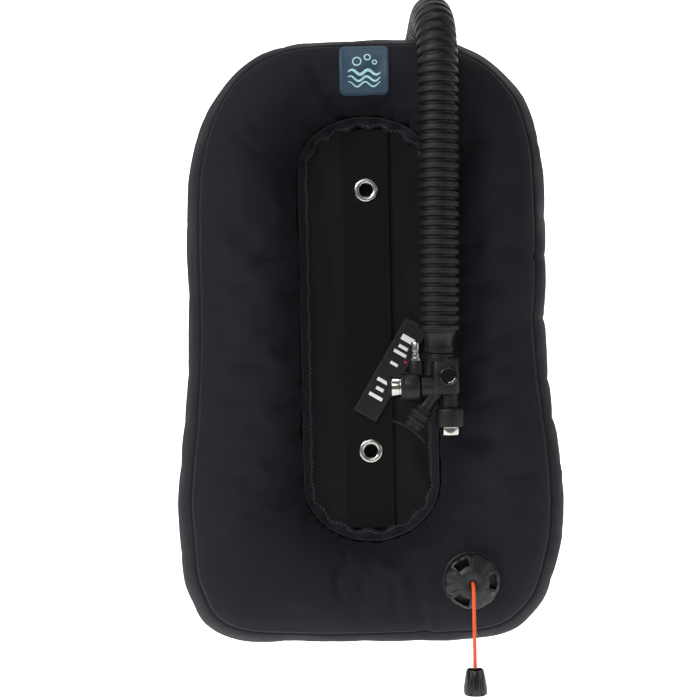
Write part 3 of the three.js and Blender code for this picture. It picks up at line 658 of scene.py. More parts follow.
def sheet_piece(
    name: str, points: Array, faces: Sequence[Sequence[int]], finish: Finish, wall: float, side: int = 0,
    uv: Array | None = None, stands_for: Sequence[str] = (), offset: float = -1.0, merged: bool = False,
) -> Piece:
    """A sheet with a wall on the wing, dressed.

    Args:
        name: the piece's name.
        points: its points in metres.
        faces: vertex indices of its faces.
        finish: its finish.
        wall: its thickness in millimetres.
        side: -1 or 1 to turn it towards -Y or +Y, or 0 to leave it.
        uv: its cloth map in metres.
        stands_for: the CAD nodes that it replaces.
        offset: -1 to thicken it behind its face, 0 on both sides.
        merged: whether points that coincide are merged.

    Returns:
        The piece.
    """
    obj = mesh_object(name, points.reshape(-1, 3), faces)
    if uv is not None:
        set_uv(obj, uv.reshape(-1, 2))
    if merged:
        tidy_ends(obj)
    face_along_y(obj, side)
    add_modifier(obj, "SOLIDIFY", thickness=wall * MM, offset=offset)
    apply_modifiers(obj)
    return dress(obj, finish, Body.WING, stands_for)


def turned_piece(
    name: str, profile: Profile, axis: Axis, centre: Point, finish: Finish, body: Body,
    stands_for: Sequence[str] = (), edge: float = 0.35, segments: int = 72,
) -> Piece:
    """A turned piece with rounded edges, dressed.

    Args:
        name: the piece's name.
        profile: (radius, height) pairs in millimetres.
        axis: the row axis that its height runs along.
        centre: where its zero is, in metres.
        finish: its finish.
        body: the body that it rides on.
        stands_for: the CAD nodes that it replaces.
        edge: the width of its rounded edges in millimetres.
        segments: how many steps go round.

    Returns:
        The piece.
    """
    return solid_piece(name, placed(turned(profile, segments), axis, centre), finish, body, stands_for, edge)


# ---- stage


@dataclass
class Studio:
    """Camera, soft lights and a pale sweep behind the wing."""

    distance: float = 1.5
    middle: tuple[float, float] = (-0.0204, -0.0312)
    lens: float = 72.06
    roll: float = -1.1
    floor: float = -0.40

    def build(self) -> None:
        """Makes the camera first, then the lights and the sweep."""
        self.add_camera()
        self.add_lights()
        self.add_sweep()

    def add_camera(self) -> None:
        """A long lens square on to the diver's side."""
        data = bpy.data.cameras.new("camera")
        data.lens, data.sensor_width = self.lens, 36.0
        data.clip_start, data.clip_end = 0.05, 30.0
        camera = bpy.data.objects.new("camera", data)
        turn = Matrix.Rotation(math.pi / 2, 4, "X") @ Matrix.Rotation(math.radians(self.roll), 4, "Z")
        camera.matrix_world = Matrix.Translation((self.middle[0], -self.distance, self.middle[1])) @ turn
        bpy.context.scene.collection.objects.link(camera)
        bpy.context.scene.camera = camera

    def add_lights(self) -> None:
        """Large soft panels: a key high on the left, a fill on the right, a top light and one behind."""
        for name, place, size, power in (
            ("key", (-1.5, -1.4, 1.3), 0.9, 34),
            ("fill", (1.7, -1.2, 0.4), 0.9, 4.5),
            ("front", (-0.4, -2.3, 1.1), 0.6, 9),
            ("top", (0.0, -0.3, 2.0), 1.0, 8),
            ("back", (0.5, 2.0, 1.3), 1.4, 9),
        ):
            data = bpy.data.lights.new(name, "AREA")
            data.energy, data.size = power, size
            light = bpy.data.objects.new(name, data)
            light.location = place
            light.rotation_euler = Vector(place).to_track_quat("Z", "Y").to_euler()
            bpy.context.scene.collection.objects.link(light)

    def add_sweep(self) -> None:
        """A pale floor that curves up into a backdrop, and an even white sky."""
        radius, back, far = 0.7, 2.6, 3.4
        bend = [(back - radius + radius * math.sin(a), self.floor + radius - radius * math.cos(a))
                for a in np.linspace(0, math.pi / 2, 24)]
        line = [(-0.9, self.floor), *bend, (back, self.floor + 5)]
        points = [(x, y, z) for y, z in line for x in (-far * 2, far * 2)]
        sweep = mesh_object("sweep", np.array(points), grid_faces(len(line), 2))
        paint = bpy.data.materials.new("pale_sweep")
        paint.use_nodes = True
        shader = paint.node_tree.nodes["Principled BSDF"]
        shader.inputs["Base Color"].default_value = (0.93, 0.93, 0.93, 1)
        shader.inputs["Roughness"].default_value = 0.9
        shader.inputs["Emission Color"].default_value = (1, 1, 1, 1)
        shader.inputs["Emission Strength"].default_value = 0.8
        sweep.data.materials.append(paint)
        world = bpy.data.worlds.new("sky")
        world.use_nodes = True
        world.node_tree.nodes["Background"].inputs[0].default_value = (1, 1, 1, 1)
        world.node_tree.nodes["Background"].inputs[1].default_value = 0.17
        bpy.context.scene.world = world
        bpy.context.scene.view_settings.view_transform = "Standard"


# ---- the air tube's shape


@dataclass
class AirTube:
    """The shape of the blown-up donut, in millimetres: an outline, a hole and the section between them."""

    height: float = 644
    top: float = 301
    shoulder: float = 387
    hip: float = 412
    hole: float = 144
    top_tube: float = 84
    bottom_tube: float = 108
    top_rise: float = 55
    bottom_rise: float = 62
    depth: float = 66
    top_power: float = 3.6
    bottom_power: float = 6.4
    middle_y: float = 4.2
    seam: float = 42.0
    loop: int = 320
    trims: tuple[tuple[float, float, float], ...] = (
        (285, 0.97, 1.01), (236, 0.99, 1.034), (193, 1.006, 1.028), (150, 1.012, 1.017), (86, 1.008, 1.003),
        (0, 1.003, 0.982), (-64, 0.998, 0.978), (-107, 0.991, 0.981), (-149, 0.994, 0.989), (-192, 1.008, 0.998),
        (-235, 1.007, 0.992), (-278, 1.018, 0.967), (-299, 1.012, 0.96), (-321, 1.03, 0.938),
    )
    middles: Array = field(init=False)
    outwards: Array = field(init=False)
    halves: Array = field(init=False)
    depths: Array = field(init=False)
    reaches: Array = field(init=False)

    def __post_init__(self) -> None:
        """Works out the sections round the loop, evenly along the outline and clockwise from the top."""
        bottom = self.top - self.height
        self.upper = self.top - self.top_tube - self.top_rise
        self.lower = bottom + self.bottom_tube + self.bottom_rise
        dense = np.array([self.outline(math.pi / 2 - TAU * k / 7200) for k in range(7200)])
        outer = resampled(dense, np.linalg.norm(np.diff(dense, axis=0), axis=1).sum() / self.loop, True)
        outer = outer[: self.loop]
        inner = np.array([self.hole_point(p) for p in outer])
        self.outer_line, self.inner_line = outer, inner
        self.middles = (inner + outer) / 2
        across = outer - inner
        self.halves = np.linalg.norm(across, axis=1) / 2
        self.outwards = across / (2 * self.halves[:, None])
        self.depths = (self.halves**-6 + self.depth**-6) ** (-1 / 6)
        self.reaches = length_along(np.vstack([outer, outer[:1]]))[:-1]

    def outline(self, angle: float) -> Array:
        """A point of the outer edge, by its polar angle."""
        c, s = math.cos(angle), math.sin(angle)
        power = self.top_power if s > 0 else self.bottom_power
        reach = (abs(c) ** power + abs(s) ** power) ** (-1 / power)
        z = self.top - self.height / 2 + self.height / 2 * reach * s
        flare = float(smoothstep(0, -self.lower, -z))
        half = (self.shoulder + (self.hip - self.shoulder) * flare) / 2
        heights, left, right = zip(*self.trims[::-1])
        trim = np.interp(z, heights, left if c < 0 else right)
        return np.array([half * reach * c * trim, 0, z])

    def hole_point(self, outer: Array) -> Array:
        """The point of the hole's edge that faces a point of the outline."""
        x, z, half = outer[0], outer[2], self.hole / 2
        if self.lower <= z <= self.upper:
            return np.array([math.copysign(half, x), 0, z])
        centre, rise = (self.upper, self.top_rise) if z > self.upper else (self.lower, self.bottom_rise)
        angle = math.atan2(z - centre, x)
        return np.array([half * math.cos(angle), 0, centre + rise * math.sin(angle)])

    def skin(self, index: Array, angle: Array, inset: Array | float = 0.0) -> Array:
        """Points of the skin.

        Args:
            index: section indices, which may have a fraction.
            angle: degrees round the tube from its outer edge, positive to the back.
            inset: millimetres inward from the skin.

        Returns:
            The points in millimetres.
        """
        index = np.asarray(index, float) % self.loop
        low = np.floor(index).astype(int) % self.loop
        high, share = (low + 1) % self.loop, index - np.floor(index)
        mix = lambda a: a[low] + (a[high] - a[low]) * (share[..., None] if a.ndim == 2 else share)
        turn = np.radians(angle)
        point = mix(self.middles) + mix(self.outwards) * ((mix(self.halves) - inset) * np.cos(turn))[..., None]
        point[..., 1] = self.middle_y + (mix(self.depths) - inset) * np.sin(turn)
        return point


# ---- the sewn shell


@dataclass
class Shell:
    """Front and back panels and the outer gusset, blown up by a cloth simulation between their seams."""

    shape: AirTube
    panel_cols: int = 34
    gusset_cols: int = 24
    pressure: float = 4.0
    slack: float = -0.035
    frames: int = 22
    most_swell: float = 6.5
    bridge: int = 7
    calm_rows: float = 4.5
    inset: float = 2.4
    tuck: float = 0.9
    tuck_width: float = 2.6
    gather: float = 0.35
    end_gather: float = 0.9
    gather_width: float = 13.0
    soft_fold: float = 1.9
    fine_fold: float = 0.55
    fold_scale: float = 1.6
    wall: float = 1.8
    stitch_pitch: float = 3.6
    stitch_from_seam: float = 4.5
    valve_centre: tuple[float, float] = (99.7, -269.8)
    valve_radius: float = 29.5
    elbow_centre: tuple[float, float] = (33.7, 257.4)
    elbow_radius: float = 23.0

    def build(self) -> None:
        """Makes the whole skin once, blows it up and splits it at the seams."""
        seam, panel, gusset = self.shape.seam, self.panel_cols, self.gusset_cols
        spans = ((-180, -seam, panel), (-seam, seam, gusset), (seam, 180, panel))
        self.angles = np.append(np.concatenate([np.linspace(a, b, count + 1)[:-1] for a, b, count in spans]), 180.0)
        index = np.arange(self.shape.loop)
        rows, turn = np.meshgrid(index, self.angles, indexing="ij")
        calm = smoothstep(180, 150, np.abs(turn))
        self.base = self.shape.skin(rows, turn, self.inset * calm) * MM
        self.grid = self.blown_up(self.base)
        self.grid = self.with_creases(self.grid)
        self.split()
        self.add_stitches()

    def seam_columns(self) -> tuple[int, int, int, int]:
        """Columns of the hole's front edge, the two gusset seams and the hole's back edge."""
        return 0, self.panel_cols, self.panel_cols + self.gusset_cols, len(self.angles) - 1

    def blown_up(self, grid: Array) -> Array:
        """Runs the cloth simulation on the whole skin.

        Args:
            grid: the rest shape, loop by columns by 3.

        Returns:
            The blown-up shape, moved at most most_swell from rest.
        """
        loop, cols = grid.shape[:2]
        start = grid.reshape(-1, 3)
        ripple = noise_at(start, 26.0, 2.0) * 1.2 * MM
        around = self.normals(grid).reshape(-1, 3)
        faces = grid_faces(loop, cols, True, False)[:, ::-1]
        obj = mesh_object("skin_sim", start + around * ripple[:, None], faces)
        pins = obj.vertex_groups.new(name="pins")
        held = [i * cols + j for i in range(loop) for j in self.seam_columns()]
        pins.add(held, 1.0, "REPLACE")
        cloth = obj.modifiers.new("air", "CLOTH")
        s = cloth.settings
        s.quality, s.mass, s.air_damping = 6, 0.3, 2.0
        s.tension_stiffness, s.compression_stiffness, s.shear_stiffness = 18, 18, 6
        s.bending_stiffness = 0.6
        s.use_pressure, s.uniform_pressure_force = True, self.pressure
        s.shrink_min = self.slack
        s.vertex_group_mass = "pins"
        s.effector_weights.gravity = 0
        cloth.collision_settings.use_collision = False
        cloth.collision_settings.use_self_collision = False
        cloth.point_cache.frame_start, cloth.point_cache.frame_end = 1, self.frames
        scene = bpy.context.scene
        for number in range(1, self.frames + 1):
            scene.frame_set(number)
        graph = bpy.context.evaluated_depsgraph_get()
        result = obj.evaluated_get(graph).data
        moved = np.zeros(len(result.vertices) * 3)
        result.vertices.foreach_get("co", moved)
        moved = moved.reshape(-1, 3) - start
        bpy.data.objects.remove(obj)
        scene.frame_set(1)
        length = np.linalg.norm(moved, axis=1, keepdims=True)
        cap = self.most_swell * MM
        moved *= np.where(length > 0, cap * np.tanh(length / cap) / np.maximum(length, 1e-9), 0)
        return grid + self.bridged((start + moved).reshape(grid.shape) - grid)

    def bridged(self, shift: Array) -> Array:
        """Carries the swell across the gusset seams, nearly whole on the left and ends and less on the right."""
        reach = self.bridge
        side = smoothstep(110, 150, self.shape.middles[:, 0]) * smoothstep(-260, -220, self.shape.middles[:, 2])
        much = (1 - 0.6 * side)[:, None, None]
        result = shift.copy()
        for column in self.seam_columns()[1:3]:
            share = smoothstep(-reach, reach, np.arange(-reach, reach + 1))[None, :, None]
            across = shift[:, [column - reach]] * (1 - share) + shift[:, [column + reach]] * share
            span = slice(column - reach, column + reach + 1)
            result[:, span] = shift[:, span] * (1 - much) + across * much
        bell = np.exp(-((np.arange(-12, 13) / self.calm_rows) ** 2) / 2)
        even = sum(np.roll(result, k, 0) * w for k, w in zip(range(-12, 13), bell / bell.sum()))
        _, low, high, _ = self.seam_columns()
        column = np.arange(shift.shape[1])
        edge = smoothstep(low - 14, low - 2, column) * smoothstep(high + 14, high + 2, column)
        share = (0.85 - 0.5 * side)[:, None] * edge[None, :]
        return result * (1 - share[..., None]) + even * share[..., None]

    @staticmethod
    def normals(grid: Array) -> Array:
        """Outward unit normals of the grid's points."""
        along = np.roll(grid, -1, 0) - np.roll(grid, 1, 0)
        across = np.gradient(grid, axis=1)
        out = np.cross(along, across)
        out /= np.maximum(np.linalg.norm(out, axis=2, keepdims=True), 1e-12)
        middle = grid.mean(axis=1, keepdims=True)
        return out * np.sign((out * (grid - middle)).sum(2, keepdims=True).mean())

    def with_creases(self, grid: Array) -> Array:
        """Adds what sewing does to the cloth: tucked seams, gathers at the hole and long soft folds."""
        out = self.normals(grid)
        loop = grid.shape[0]
        height = np.zeros(grid.shape[:2])
        step = np.linalg.norm(np.diff(grid, axis=1), axis=2) / MM
        reach = np.concatenate([np.zeros((loop, 1)), np.cumsum(step, 1)], 1)
        _, low, high, last = self.seam_columns()
        for column in (low, high):
            away = np.abs(reach - reach[:, column : column + 1])
            height -= self.tuck * np.exp(-((away / self.tuck_width) ** 2))
        around = self.shape.reaches[:, None] / self.shape.reaches[-1] * TAU
        curved = smoothstep(0, 30, np.abs(self.shape.inner_line[:, 2] - (self.shape.upper + self.shape.lower) / 2)
                            - (self.shape.upper - self.shape.lower) / 2 + 12)[:, None]
        wave = np.sin(around * 46 + 2.2 * np.sin(around * 5)) + 0.5 * np.sin(around * 83 + 1.0)
        for column in (0, last):
            away = np.abs(reach - reach[:, column : column + 1])
            height += ((self.gather + self.end_gather * curved) * wave * np.exp(-((away / self.gather_width) ** 2))
                       * smoothstep(0, 3, away))
        flat = grid.reshape(-1, 3)
        soft = noise_at(flat * np.array([1.6, 1.0, 0.55]), 13.0, 1.0).reshape(height.shape)
        fine = noise_at(flat * np.array([1.5, 1.2, 0.8]), 34.0, 4.0).reshape(height.shape)
        edge = np.minimum(reach, reach[:, -1:] - reach)
        calm = smoothstep(0, 18, edge)
        for column in (low, high):
            calm = calm * smoothstep(0, 14, np.abs(reach - reach[:, column : column + 1]))
        height += calm * (self.soft_fold * soft + self.fine_fold * fine)
        height += self.named_folds(grid)
        return grid + out * (height * MM)[..., None]

    def named_folds(self, grid: Array) -> Array:
        """Separate folds, each a soft ridge between two places on the front: (x, z) ends, width and height."""
        folds = (
            ((-55, 262), (-26, 214), 7, -1.8),
            ((62, 120), (70, 60), 9, 0.8),
            ((-135, 192), (-112, 176), 5, -1.6),
            ((96, -212), (114, -242), 8, -2.2),
            ((84, -222), (96, -246), 6, 1.4),
            ((40, -268), (52, -328), 7, -1.6),
            ((54, -262), (62, -322), 6, 1.2),
            ((-162, 60), (-150, -20), 10, -1.2),
            ((150, 70), (182, 62), 4, -1.3),
            ((-120, -250), (-150, -300), 9, 1.4),
        )
        x, y, z = (grid[..., k] / MM for k in range(3))
        total = np.zeros(x.shape)
        for (x0, z0), (x1, z1), width, height in folds:
            along = np.array([x1 - x0, z1 - z0])
            share = ((x - x0) * along[0] + (z - z0) * along[1]) / (along @ along)
            share = np.clip(share, 0, 1)
            off = np.hypot(x - x0 - share * along[0], z - z0 - share * along[1])
            total += self.fold_scale * height * np.exp(-((off / width) ** 2)) * (y < 0)
        return total

    def split(self) -> None:
        """Cuts the skin into its three pieces, each with its own wall."""
        start, low, high, last = self.seam_columns()
        seats = (("front_panel", start, low), ("outer_gusset", low, high), ("back_panel", high, last))
        hidden = {"front_panel": ["air_bladder"]}
        holes = {"front_panel": (self.valve_centre, self.valve_radius - 6),
                 "back_panel": (self.elbow_centre, self.elbow_radius - 5)}
        for name, first, end in seats:
            part = self.grid[:, first : end + 1]
            loop, cols = part.shape[:2]
            faces = grid_faces(loop, cols, True, False)
            centres = part.reshape(-1, 3)[faces].mean(1) / MM
            keep = self.outside(centres, *holes.get(name, ((0, 0), 0)))
            step = np.linalg.norm(np.diff(part, axis=1), axis=2)
            v = np.concatenate([np.zeros((loop, 1)), np.cumsum(step, 1)], 1)
            u = np.repeat(self.shape.reaches[:, None] * MM, cols, 1)
            obj = sheet_piece(f"{name}_cloth", part, faces[keep][:, ::-1], CORDURA, self.wall,
                              uv=np.stack([u, v], -1), stands_for=[name, *hidden.get(name, [])])

    @staticmethod
    def outside(points: Array, centre: tuple[float, float], radius: float) -> Array:
        """Which points lie outside a round hole seen along Y."""
        return np.hypot(points[:, 0] - centre[0], points[:, 2] - centre[1]) > radius

    def surface(self, column: float) -> tuple[Array, Array]:
        """Points and normals of the finished skin along one column, which may have a fraction."""
        low = int(math.floor(column))
        share = column - low
        high = min(low + 1, self.grid.shape[1] - 1)
        normal = self.normals(self.grid)
        return (
            self.grid[:, low] * (1 - share) + self.grid[:, high] * share,
            normal[:, low] * (1 - share) + normal[:, high] * share,
        )

    def add_stitches(self) -> None:
        """Two rows of top stitches beside each gusset seam."""
        _, low, high, _ = self.seam_columns()
        for name, column, side in (("front_seam_stitches", low, -1), ("back_seam_stitches", high, 1)):
            cell = np.linalg.norm(self.grid[:, column + side] - self.grid[:, column], axis=1).mean() / MM
            line, out = self.surface(column + side * self.stitch_from_seam / cell)
            dress(stitch_row(name, line, out, self.stitch_pitch), DARK_THREAD)


def stitch_row(
    name: str, line: Array, out: Array, pitch: float, zigzag: float = 0.0, thick: float = 0.55
) -> Piece:
    """A closed row of stitches lying on a surface.

    Args:
        name: the piece's name.
        line: the row's points in metres, as a loop.
        out: the surface's outward normals there.
        pitch: the length of a stitch and its gap, in millimetres.
        zigzag: how far each stitch's end swings to the side, in millimetres.
        thick: the thread's diameter in millimetres.

    Returns:
        The row as one mesh.
    """
    loop = np.vstack([line, line[:1]])
    normals = np.vstack([out, out[:1]])
    reach = length_along(loop)
    count = int(reach[-1] / (pitch * MM))
    parts, sides = [], 5
    ring_angles = np.arange(sides) * TAU / sides
    at = lambda s, rows: np.array([np.interp(s % reach[-1], reach, rows[:, k]) for k in range(3)])
    covered = 1.0 if zigzag else 0.72
    for k in range(count):
        start, end = k * reach[-1] / count, (k + covered) * reach[-1] / count
        a, b, up = at(start, loop), at(end, loop), at(start, normals)
        up = up / max(np.linalg.norm(up), 1e-9)
        along = (b - a) / max(np.linalg.norm(b - a), 1e-9)
        side = np.cross(up, along)
        swing = zigzag * MM * (1 if k % 2 else -1)
        a, b = a + side * swing, b - side * swing * (1 if zigzag else 0)
        along = (b - a) / max(np.linalg.norm(b - a), 1e-9)
        side = np.cross(up, along)
        spots = []
        for share, size, lift in ((0.0, 0.55, -0.1), (0.25, 1.0, 0.22), (0.75, 1.0, 0.22), (1.0, 0.55, -0.1)):
            centre = a + (b - a) * share + up * lift * MM
            r = thick / 2 * size * MM
            spots.append(centre + r * (np.cos(ring_angles)[:, None] * side + np.sin(ring_angles)[:, None] * up))
        parts.append((np.concatenate(spots), capped_faces(len(spots), sides)))
    return mesh_object(name, *joined(parts))


# ---- the middle of the wing


@dataclass
class Centre:
    """The recessed panel in the hole, its gathered borders, the webbing and the grommets."""

    shape: AirTube
    panel_front: float = 3.3
    fabric: float = 1.8
    border: float = 12.5
    border_steps: int = 12
    border_wall: float = 0.9
    webbing_width: float = 50.0
    webbing_thick: float = 3.0
    spacing: float = 279.4
    bore: float = 7.25
    barrel: float = 0.7
    rim: float = 12.7
    clear: float = 8.3

    def build(self) -> None:
        """Makes every piece of the hole."""
        self.curved = smoothstep(
            -6, 26,
            np.maximum(self.shape.inner_line[:, 2] - self.shape.upper, self.shape.lower - self.shape.inner_line[:, 2]),
        )
        self.add_panel()
        self.add_border("front_hole_border", "front_hole_binding", -1)
        self.add_border("rear_hole_border", "rear_hole_binding", 1)
        self.add_webbing()
        self.add_rear_flap()
        for place, z in (("upper", self.spacing / 2), ("lower", -self.spacing / 2)):
            self.add_grommet(place, z)

    def off_grommets(self, x: Array, z: Array, radius: float) -> Array:
        """Which places lie clear of both grommets."""
        return np.minimum(np.hypot(x, z - self.spacing / 2), np.hypot(x, z + self.spacing / 2)) > radius

    def spine(self) -> Array:
        """For each section, the point of the middle line that it faces, in millimetres."""
        z = np.clip(self.shape.inner_line[:, 2], self.shape.lower, self.shape.upper)
        return np.stack([np.zeros_like(z), np.zeros_like(z), z], 1)

    def add_panel(self) -> None:
        """The soft panel that closes the hole, with shallow wrinkles towards its ends."""
        steps = 26
        share = np.linspace(0, 1, steps)
        edge = self.shape.inner_line + self.shape.outwards * 0.6
        line = self.spine()[:, None] + (edge - self.spine())[:, None] * share[None, :, None]
        flat = line.reshape(-1, 3)
        rough = noise_at(flat * MM * np.array([1.4, 1, 0.8]), 30.0, 8.0).reshape(line.shape[:2])
        corner = np.exp(-(((line[..., 0] - 46) / 26) ** 2 + ((line[..., 2] + 178) / 44) ** 2))
        fold = np.sin((line[..., 0] * 0.8 + line[..., 2] * 0.5) / 7.5)
        away = np.clip((np.abs(line[..., 0]) - 27) / 12, 0, 1)
        ends = smoothstep(0.98, 0.8, share)[None, :]
        rise = away * ends * (1.6 * rough + 3.2 * corner * (0.45 + 0.55 * fold))
        line[..., 1] = self.panel_front - rise
        faces = grid_faces(len(line), steps, True, False)
        centres = line.reshape(-1, 3)[faces].mean(1)
        faces = faces[self.off_grommets(centres[:, 0], centres[:, 2], self.clear)]
        obj = sheet_piece("centre_panel_cloth", line * MM, faces, LINING, self.fabric, -1, line[..., [0, 2]] * MM,
                          ["centre_panel"], merged=True)
        width, length = 2 * self.shape.inner_line[:, 0].max() * MM, np.ptp(self.shape.inner_line[:, 2]) * MM

    def add_border(self, name: str, stands_for: str, side: int) -> None:
        """The gathered edge where the shell turns in over the panel, with its zigzag row.

        Args:
            name: the piece's name.
            stands_for: the CAD node that it replaces.
            side: -1 at the front, 1 at the back.
        """
        back = self.panel_front + self.fabric
        seat = self.panel_front if side < 0 else back
        count = self.shape.loop * 2
        index = np.arange(count) / 2
        low = index.astype(int) % self.shape.loop
        high = (low + 1) % self.shape.loop
        half = (index % 1)[:, None]
        between = lambda rows: rows[low] * (1 - half) + rows[high] * half
        edge, inward = between(self.shape.inner_line), -between(self.shape.outwards)
        curved = between(self.curved[:, None])[:, 0]
        reach = length_along(edge)
        turns = reach / reach[-1] * TAU
        scallop = np.sin(turns * 38 + 1.6 * np.sin(turns * 3) + 0.4) * (0.25 + 0.75 * curved)
        over = smoothstep(0, 8, 33 - np.abs(edge[:, 0])) * (side < 0) * (curved > 0.3)
        inner_y = np.where(over > 0, seat + side * (0.35 + 4.0 * over), seat + side * 0.35)
        share = np.linspace(0, 1, self.border_steps)
        width = self.border * (1 + 0.22 * scallop)
        points = edge[:, None] + inward[:, None] * (share[None, :] * width[:, None] - 1.2)[..., None]
        crown = self.roll_height(share)
        lift = 4.6 * crown[None, :] + scallop[:, None] * 2.1 * np.sin(np.pi * share)[None, :] ** 1.2
        base = seat + (inner_y - seat)[:, None] * share[None, :] ** 1.5
        points[..., 1] = base + side * (lift + 0.4)
        faces = grid_faces(count, self.border_steps, True, False)
        uv = np.stack([np.repeat(reach[:, None], len(share), 1), share[None, :] * width[:, None]], -1)
        sheet_piece(name, points * MM, faces, CORDURA, self.border_wall, side, uv * MM, [stands_for])
        row = int(self.border_steps * 0.72)
        line = points[:, row] * MM
        out = np.tile([0.0, float(side), 0.0], (count, 1))
        zigzag = stitch_row(f"{name}_zigzag", line + out * 0.25 * MM, out, 2.3, 1.5, 0.6)
        dress(zigzag, THREAD)
        piping = tube(points[:, 1] * MM + out * 0.5 * MM, 1.15 * MM, 8, True)
        dress(mesh_object(f"{name}_piping", *piping), GROSGRAIN)

    @staticmethod
    def roll_height(share: Array) -> Array:
        """How far the border stands up, from its rolled outer edge to its sewn inner edge."""
        return np.cos(np.clip(share, 0, 1) * np.pi / 2) ** 1.6

    def add_webbing(self) -> None:
        """The ribbed strap that the grommets go through, with a stitched line near each edge."""
        low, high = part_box("centre_webbing")
        cols, rib = 40, 2.1
        z = np.arange(low.z / MM, high.z / MM, rib / 4)
        x = np.linspace(-self.webbing_width / 2, self.webbing_width / 2, cols)
        grid_z, grid_x = np.meshgrid(z, x, indexing="ij")
        edge = np.clip((self.webbing_width / 2 - np.abs(grid_x)) / 1.2, 0, 1)
        y = 0.3 * np.sin(TAU * grid_z / rib) * edge - 0.15 * edge + 0.45 * (1 - edge)
        y += 0.25 * np.exp(-(((np.abs(grid_x) - self.webbing_width / 2 + 4) / 0.9) ** 2))
        points = np.stack([grid_x, y, grid_z], -1).reshape(-1, 3)
        faces = grid_faces(len(z), cols)
        centres = points[faces].mean(1)
        faces = faces[self.off_grommets(centres[:, 0], centres[:, 2], self.clear)]
        sheet_piece("centre_webbing_strap", points * MM, faces, WEBBING, self.webbing_thick - 0.2, -1,
                    points[:, [0, 2]] * MM, ["centre_webbing"])

    def add_rear_flap(self) -> None:
        """A loose black flap behind the panel, sewn at its two ends, that covers the washers at the back."""
        half, low, high = 42.0, self.shape.lower - 34, self.shape.upper + 30
        z, x = np.meshgrid(np.linspace(low, high, 150), np.linspace(-half, half, 36), indexing="ij")
        ends = smoothstep(low, low + 24, z) * smoothstep(high, high - 24, z)
        wave = noise_at(np.stack([x, 0 * x, z * 0.4], -1).reshape(-1, 3) * MM, 22.0, 11.0).reshape(x.shape)
        y = self.panel_front + self.fabric + 2.2 + ends * (5.6 + 1.8 * wave)
        y += 0.5 * np.exp(-(((half - np.abs(x)) / 2.0) ** 2))
        points = np.stack([x, y, z], -1).reshape(-1, 3)
        obj = sheet_piece("centre_rear_flap", points * MM, grid_faces(*x.shape), LINING, 1.2,
                          uv=points[:, [0, 2]] * MM, offset=0.0)

    def add_grommet(self, place: str, z: float) -> None:
        """A rolled steel grommet and the washer behind it."""
        back = self.panel_front + self.fabric
        face, inner = -2.0, self.bore + self.barrel
        arc = [
            (10.1 + 2.6 * math.cos(a), face + 1.55 - 1.55 * math.sin(a))
            for a in np.linspace(0.05, math.pi - 0.35, 9)
        ]
        lip = [(8.2, face + 1.1), (7.85, face + 0.75), (7.5, face + 0.95), (self.bore, face + 1.8)]
        tail = [(self.bore, back + 1.3), (inner, back + 1.3), (inner, -0.3), (self.rim - 0.2, -0.3)]
        profile = [*arc, *lip, *tail, arc[0]]
        middle = (0, 0, z * MM)
        turned_piece(f"{place}_grommet_rim", profile, Axis.Y, middle, STEEL, Body.WING, [f"{place}_grommet"], 0, 96)
        washer = [(inner + 0.3, back + 0.3), (self.rim, back + 0.3), (self.rim, back + 1.0),
                  (self.rim - 0.6, back + 1.3), (inner + 0.3, back + 1.3), (inner + 0.3, back + 0.3)]
        turned_piece(f"{place}_washer_ring", washer, Axis.Y, middle, STEEL, Body.WING, [f"{place}_grommet_washer"],
                     0.15, 96)


# ---- trims on the shell


